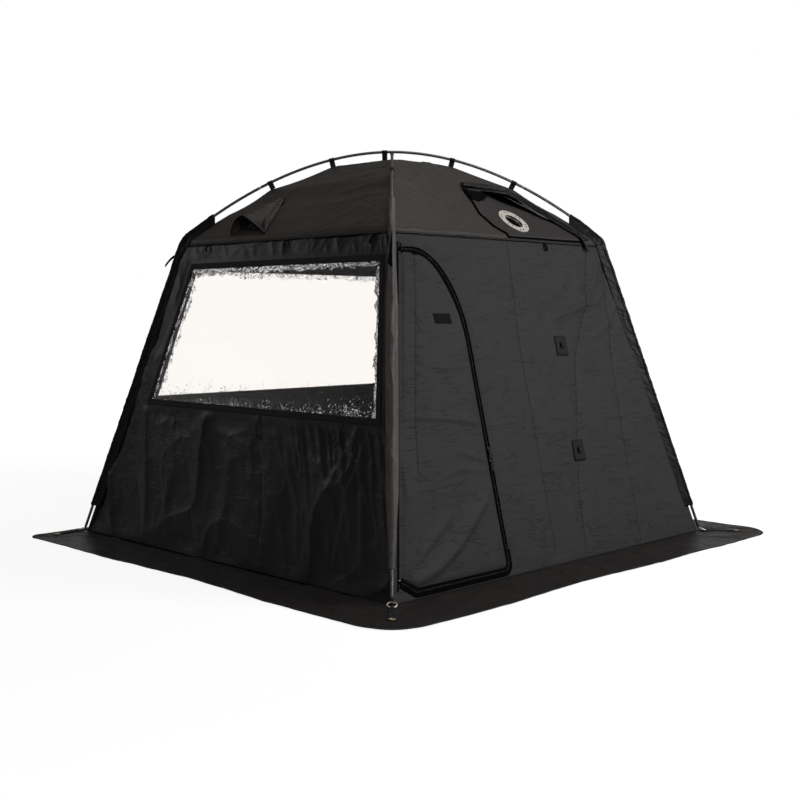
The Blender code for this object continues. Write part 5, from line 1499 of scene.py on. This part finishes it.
# Corner anchors
# A webbing strip on the skirt leads from the pole's ring to a brass eyelet for the peg; a short keeper loop
# of the same webbing holds the ring.
ANCHOR_TOP = 0.0073
RING_END_R = 1.51242
STRIP_START = -0.0345
STRIP_HALF = 0.0125
STRIP_END_R = 0.018
KEEPER_R = 0.0069
BRASS_TONES = ("#b79d78", "#d8c09a")
brass, tree, shader, where = finish_of("antique_brass", BRASS_TONES[0], 0.34, 0.7)
wire(shader, {"Base Color": mottled(tree, where, 160.0, 4.0, BRASS_TONES)})
EYELET_R = [0.0055, 0.0055, 0.0062, 0.0076, 0.0105, 0.013, 0.014, 0.0138, 0.007, 0.0062, 0.0055]
EYELET_Z = [0.005, 0.0082, 0.0087, 0.0088, 0.0085, 0.0079, 0.0073, 0.0068, 0.0068, 0.005, 0.005]
for corner in CORNERS:
    end = corner.split("_")[0]
    sign = -1 if corner.endswith("left") else 1
    start = around(corner, RING_END_R, 0.0)
    eyelet = np.array([sign * EYELETS[end][0], EYELETS[end][1] + CENTRE_Y, 0.0])
    reach = float(np.linalg.norm(eyelet - start))
    way = (eyelet - start) / reach
    cross = np.array([-way[1], way[0], 0.0])
    round_end = bow((reach, 0), (STRIP_END_R, STRIP_END_R), -136, 136, 24)
    strip = np.vstack([[[STRIP_START, -STRIP_HALF]], round_end, [[STRIP_START, STRIP_HALF]]])
    cuts = [(strip, True), (ring_of((reach, 0), 0.0058), False)]
    width = lambda v: (STRIP_START, reach + STRIP_END_R)
    piece = cloth_grid(f"anchor_webbing_{corner}", width, -STRIP_END_R, STRIP_END_R, 0.0024, cuts)
    x, y = corners_of(piece).T[:2]
    for place, loop in zip(piece.data.uv_layers[0].data, piece.data.loops):
        place.uv = (y[loop.vertex_index] + STRIP_HALF, x[loop.vertex_index])
    rise = 0.0008 * noise(x / 0.03, y / 0.03, seed=151) * ramp(x, reach - 0.02, -0.02) * ramp(x, 0, 0.02)
    spots = start + x[:, None] * way + y[:, None] * cross
    spots[:, 2] = ANCHOR_TOP + rise
    hang(piece, spots, 0.0024, (0, 0, 1))
    fit(piece, strap_look, "webbing", "tent", f"corner_anchor_{corner}")

    turns = np.radians(np.linspace(-20, 200, 26))
    out_way = outward_of(corner)
    rise = np.array([0, 0, ANCHOR_TOP])
    loop = [start + rise + KEEPER_R * np.array([*(math.cos(t) * out_way[:2]), math.sin(t)]) for t in turns]
    band(f"ring_keeper_{corner}", loop, sideways_of(corner), 0.012, strap_look, "tent", thickness=0.0016)

    def rim_place(u, v):
        turn = v * 2 * math.pi
        r, z = [np.interp(u, np.linspace(0, 1, 11), profile) for profile in (EYELET_R, EYELET_Z)]
        return np.stack([eyelet[0] + r * np.cos(turn), eyelet[1] + r * np.sin(turn), z], axis=1)

    piece = close_up(skin(f"brass_eyelet_{corner}", 20, 32, rim_place, (0.03, 0.06)), False)
    fit(piece, brass, "steel", "tent")

# Small trim
# Two square patches with a webbing loop on the front wall, thin ties at the roof seam, small toggles under
# the left window and loose webbing ends at the corners.
LOOP_UP = np.array([-0.014, -0.01, 0, 0.01, 0.014])
LOOP_OUT = np.array([0, 0.0045, 0.0085, 0.0045, 0])


def level_of(side):
    """The level direction along a wall."""
    return on_wall(side, 1.0, 0.5) - on_wall(side, 0.0, 0.5)


# The wall's cloth, laid double, so its creases are finer
sewn_patch = cloth_finish(
    "doubled_patch_polyester", ("#1f1d1e", "#262425"), 0.6, 0.12,
    scale=(8.0, 8.0, 30.0), width=0.03, depth=0.003, thread=700.0,
)
for number, (x, v) in enumerate((((0.202, 0.282), (0.891, 0.978)), ((0.186, 0.263), (0.422, 0.512)))):
    corners = [(x[0], v[0]), (x[1], v[0] - 0.004), (x[1], v[1]), (x[0] + 0.002, v[1])]
    piece = patch(f"wall_patch_{number + 1}", corners, 0.0035, sewn_patch, "tent", 0.0014, 160 + number)
    mark(piece, "crumple", 0.6)
    line = on_wall("front", (x[0] + x[1]) / 2, (v[0] + v[1]) / 2 + LOOP_UP, 0.0055 + LOOP_OUT)
    band(f"patch_loop_{number + 1}", even_steps(line, 0.002), level_of("front"), 0.02, strap_look, "tent")


def tie(name, side, x, top, foot, width=0.006, stand=0.006, sway=0.0):
    """A narrow tape that hangs from a seam in front of the wall."""
    v = np.linspace(top, foot, 12)
    t = np.linspace(0, 1, 12)
    out = 0.0015 + stand * np.sin(np.pi * np.clip(t * 0.8, 0, 1))
    line = on_wall(side, x + sway * t**1.5, v, out)
    return band(name, line, level_of(side), width, tape_look, "tent", thickness=0.001)


tie("seam_tie_front_1", "front", 0.261, 1.403, 1.366, 0.014, 0.009)
tie("seam_tie_front_2", "front", 0.55, 1.403, 1.38, 0.005, 0.004)
tie("seam_tie_left_1", "left", -0.496, 1.403, 1.37, 0.01, 0.009)
tie("seam_tie_left_2", "left", 0.067, 1.403, 1.368, 0.009, 0.009)
tie("seam_tie_left_3", "left", 0.605, 1.403, 1.362, 0.009, 0.01, -0.012)
for number, (x, v) in enumerate(((-0.492, 0.572), (0.106, 0.551), (0.617, 0.559))):
    tie(f"toggle_cord_{number + 1}", "left", x, slope_of(WINDOW["foot_z"]) - 0.03, v, 0.003, 0.003)
    bead = on_wall("left", [x - 0.012, x + 0.012], [v + 0.002, v - 0.004], 0.0065)
    piece = tube(f"toggle_{number + 1}", bead, 0.0042, (0, 0, 1), 12, 0.002, swaged)
    fit(piece, enamel, "black_metal", "tent")


# A loose black tongue hangs beside the nearest shoulder, and a strap's tail out of the back-left sleeve
def tongue_place(u, v):
    t = 1 - v
    at = slope_of(1.362 - 0.142 * t)
    width = (0.004 + 0.016 * t**1.4) * np.sqrt(ramp(t, 1, -0.1))
    reach = (u * width - 0.002) / math.sqrt(2)
    x = half_wall(at) + 0.02 - reach
    return on_wall("left", x, at, 0.02 + reach + 0.003 * np.sin(np.pi * t))


piece = skin("loose_tongue_front_left", 6, 30, tongue_place, (0.02, 0.14), FACING["left"])
thicken(piece, 0.0012)
fit(piece, tape_look, "webbing", "tent")
tail_r = np.array([0.0, 0.014, 0.03, 0.046, 0.058])
tail_z = 1.322 - np.array([0.0, 0.004, 0.016, 0.034, 0.05])
line = around("back_left", leg_r(1.322) + tail_r, tail_z)
across = sideways_of("back_left") * 0.4 + np.array([0, 0, 0.9])
band("loose_strap_back_left", even_steps(line, 0.004), across, 0.013, tape_look, "tent")

# The studio
# A pale floor that keeps the tent's shadow, a large soft lamp before the door, two small ones that glance
# along the left wall, one above, a wide one behind like a pale wall, and an even light from all round.
bpy.ops.object.camera_add()
camera = bpy.context.object
camera.data.lens = 52.92
camera.data.sensor_width = 36
camera.data.shift_x = 0.01
camera.location = (-3.966, -3.966 + CENTRE_Y, 1.041)
camera.rotation_euler = (math.pi / 2 - 0.0721, 0, math.radians(-45))
bpy.context.scene.camera = camera


def through_film(tree, path):
    """1 for a look through the window film, before the light bounces off any surface."""
    direct = node(tree, "Math", {0: path.outputs["Diffuse Depth"], 1: 0.5}, operation="LESS_THAN")
    return node(tree, "Math", {0: path.outputs["Is Transmission Ray"], 1: direct}, operation="MULTIPLY")


# Pale and matt: it looks even to the eye, gives back little light to the cloth, and keeps the tent's shadow
floor_look, tree, shader, where = finish_of("pale_studio_floor", "#8c8c8c", 0.9, specular=0.1)
away = node(tree, "VectorMath", {0: where.outputs["Object"]}, operation="LENGTH")
far = {"Value": away.outputs["Value"], "From Min": 2.0, "From Max": 7.0, "To Min": 0.86, "To Max": 1.0}
far = node(tree, "MapRange", far, interpolation_type="SMOOTHSTEP")
path = node(tree, "LightPath", {})
seen = {0: path.outputs["Is Camera Ray"], 1: through_film(tree, path)}
seen = node(tree, "Math", seen, operation="MAXIMUM")
shiny = node(tree, "Math", {0: path.outputs["Is Glossy Ray"], 1: 0.25}, operation="MULTIPLY")
seen = node(tree, "Math", {0: seen, 1: shiny}, operation="MAXIMUM")
lift = node(tree, "Math", {0: seen, 1: far}, operation="MULTIPLY")
tint = {"Factor": path.outputs["Is Diffuse Ray"], 6: linear("#8c8c8c"), 7: linear("#4a4a4a")}
tint = node(tree, "Mix", tint, data_type="RGBA")
wire(shader, {"Base Color": tint, "Emission Color": (1, 1, 1, 1), "Emission Strength": lift})
bm = bmesh.new()
bmesh.ops.create_grid(bm, x_segments=2, y_segments=2, size=30)
floor = write_mesh("studio_floor", bm)
floor.location.z = -0.0005
floor.data.materials.append(floor_look)

world = bpy.data.worlds.new("studio_light")
bpy.context.scene.world = world
world.use_nodes = True
tree = world.node_tree
background = tree.nodes["Background"]
path = node(tree, "LightPath", {})
level = {0: path.outputs["Is Camera Ray"], 1: 0.86, 2: 0.14}
level = node(tree, "Math", level, operation="MULTIPLY_ADD")
bright = {0: through_film(tree, path), 1: 0.9, 2: level}
bright = node(tree, "Math", bright, operation="MULTIPLY_ADD")
wire(background, {"Color": (1, 1, 1, 1), "Strength": bright})


def lamp(name, place, target, size, power):
    bpy.ops.object.light_add(type="AREA", location=place)
    made = bpy.context.object
    made.name = name
    made.data.shape = "RECTANGLE"
    made.data.size, made.data.size_y = size
    made.data.energy = power
    made.visible_camera = False
    made.visible_transmission = False
    way = Vector(target) - Vector(place)
    made.rotation_euler = way.to_track_quat("-Z", "Y").to_euler()


lamp("soft_front", (3.0, -5.2, 3.0), (0.0, -0.7, 0.8), (2.0, 2.0), 175)
lamp("glancing_left", (-2.7, 4.6, 2.7), (-0.9, -0.1, 0.7), (0.5, 1.6), 13)
lamp("glancing_near", (-2.7, -5.0, 2.6), (-1.0, -0.6, 1.0), (0.7, 0.7), 34)
lamp("soft_top", (0.5, -0.8, 5.0), (0, 0, 1.0), (3.0, 3.0), 48)
lamp("pale_wall_behind", (6.0, 6.0, 1.6), (0, 0, 1.0), (8.0, 3.0), 60)

bpy.context.scene.view_settings.view_transform = "Standard"
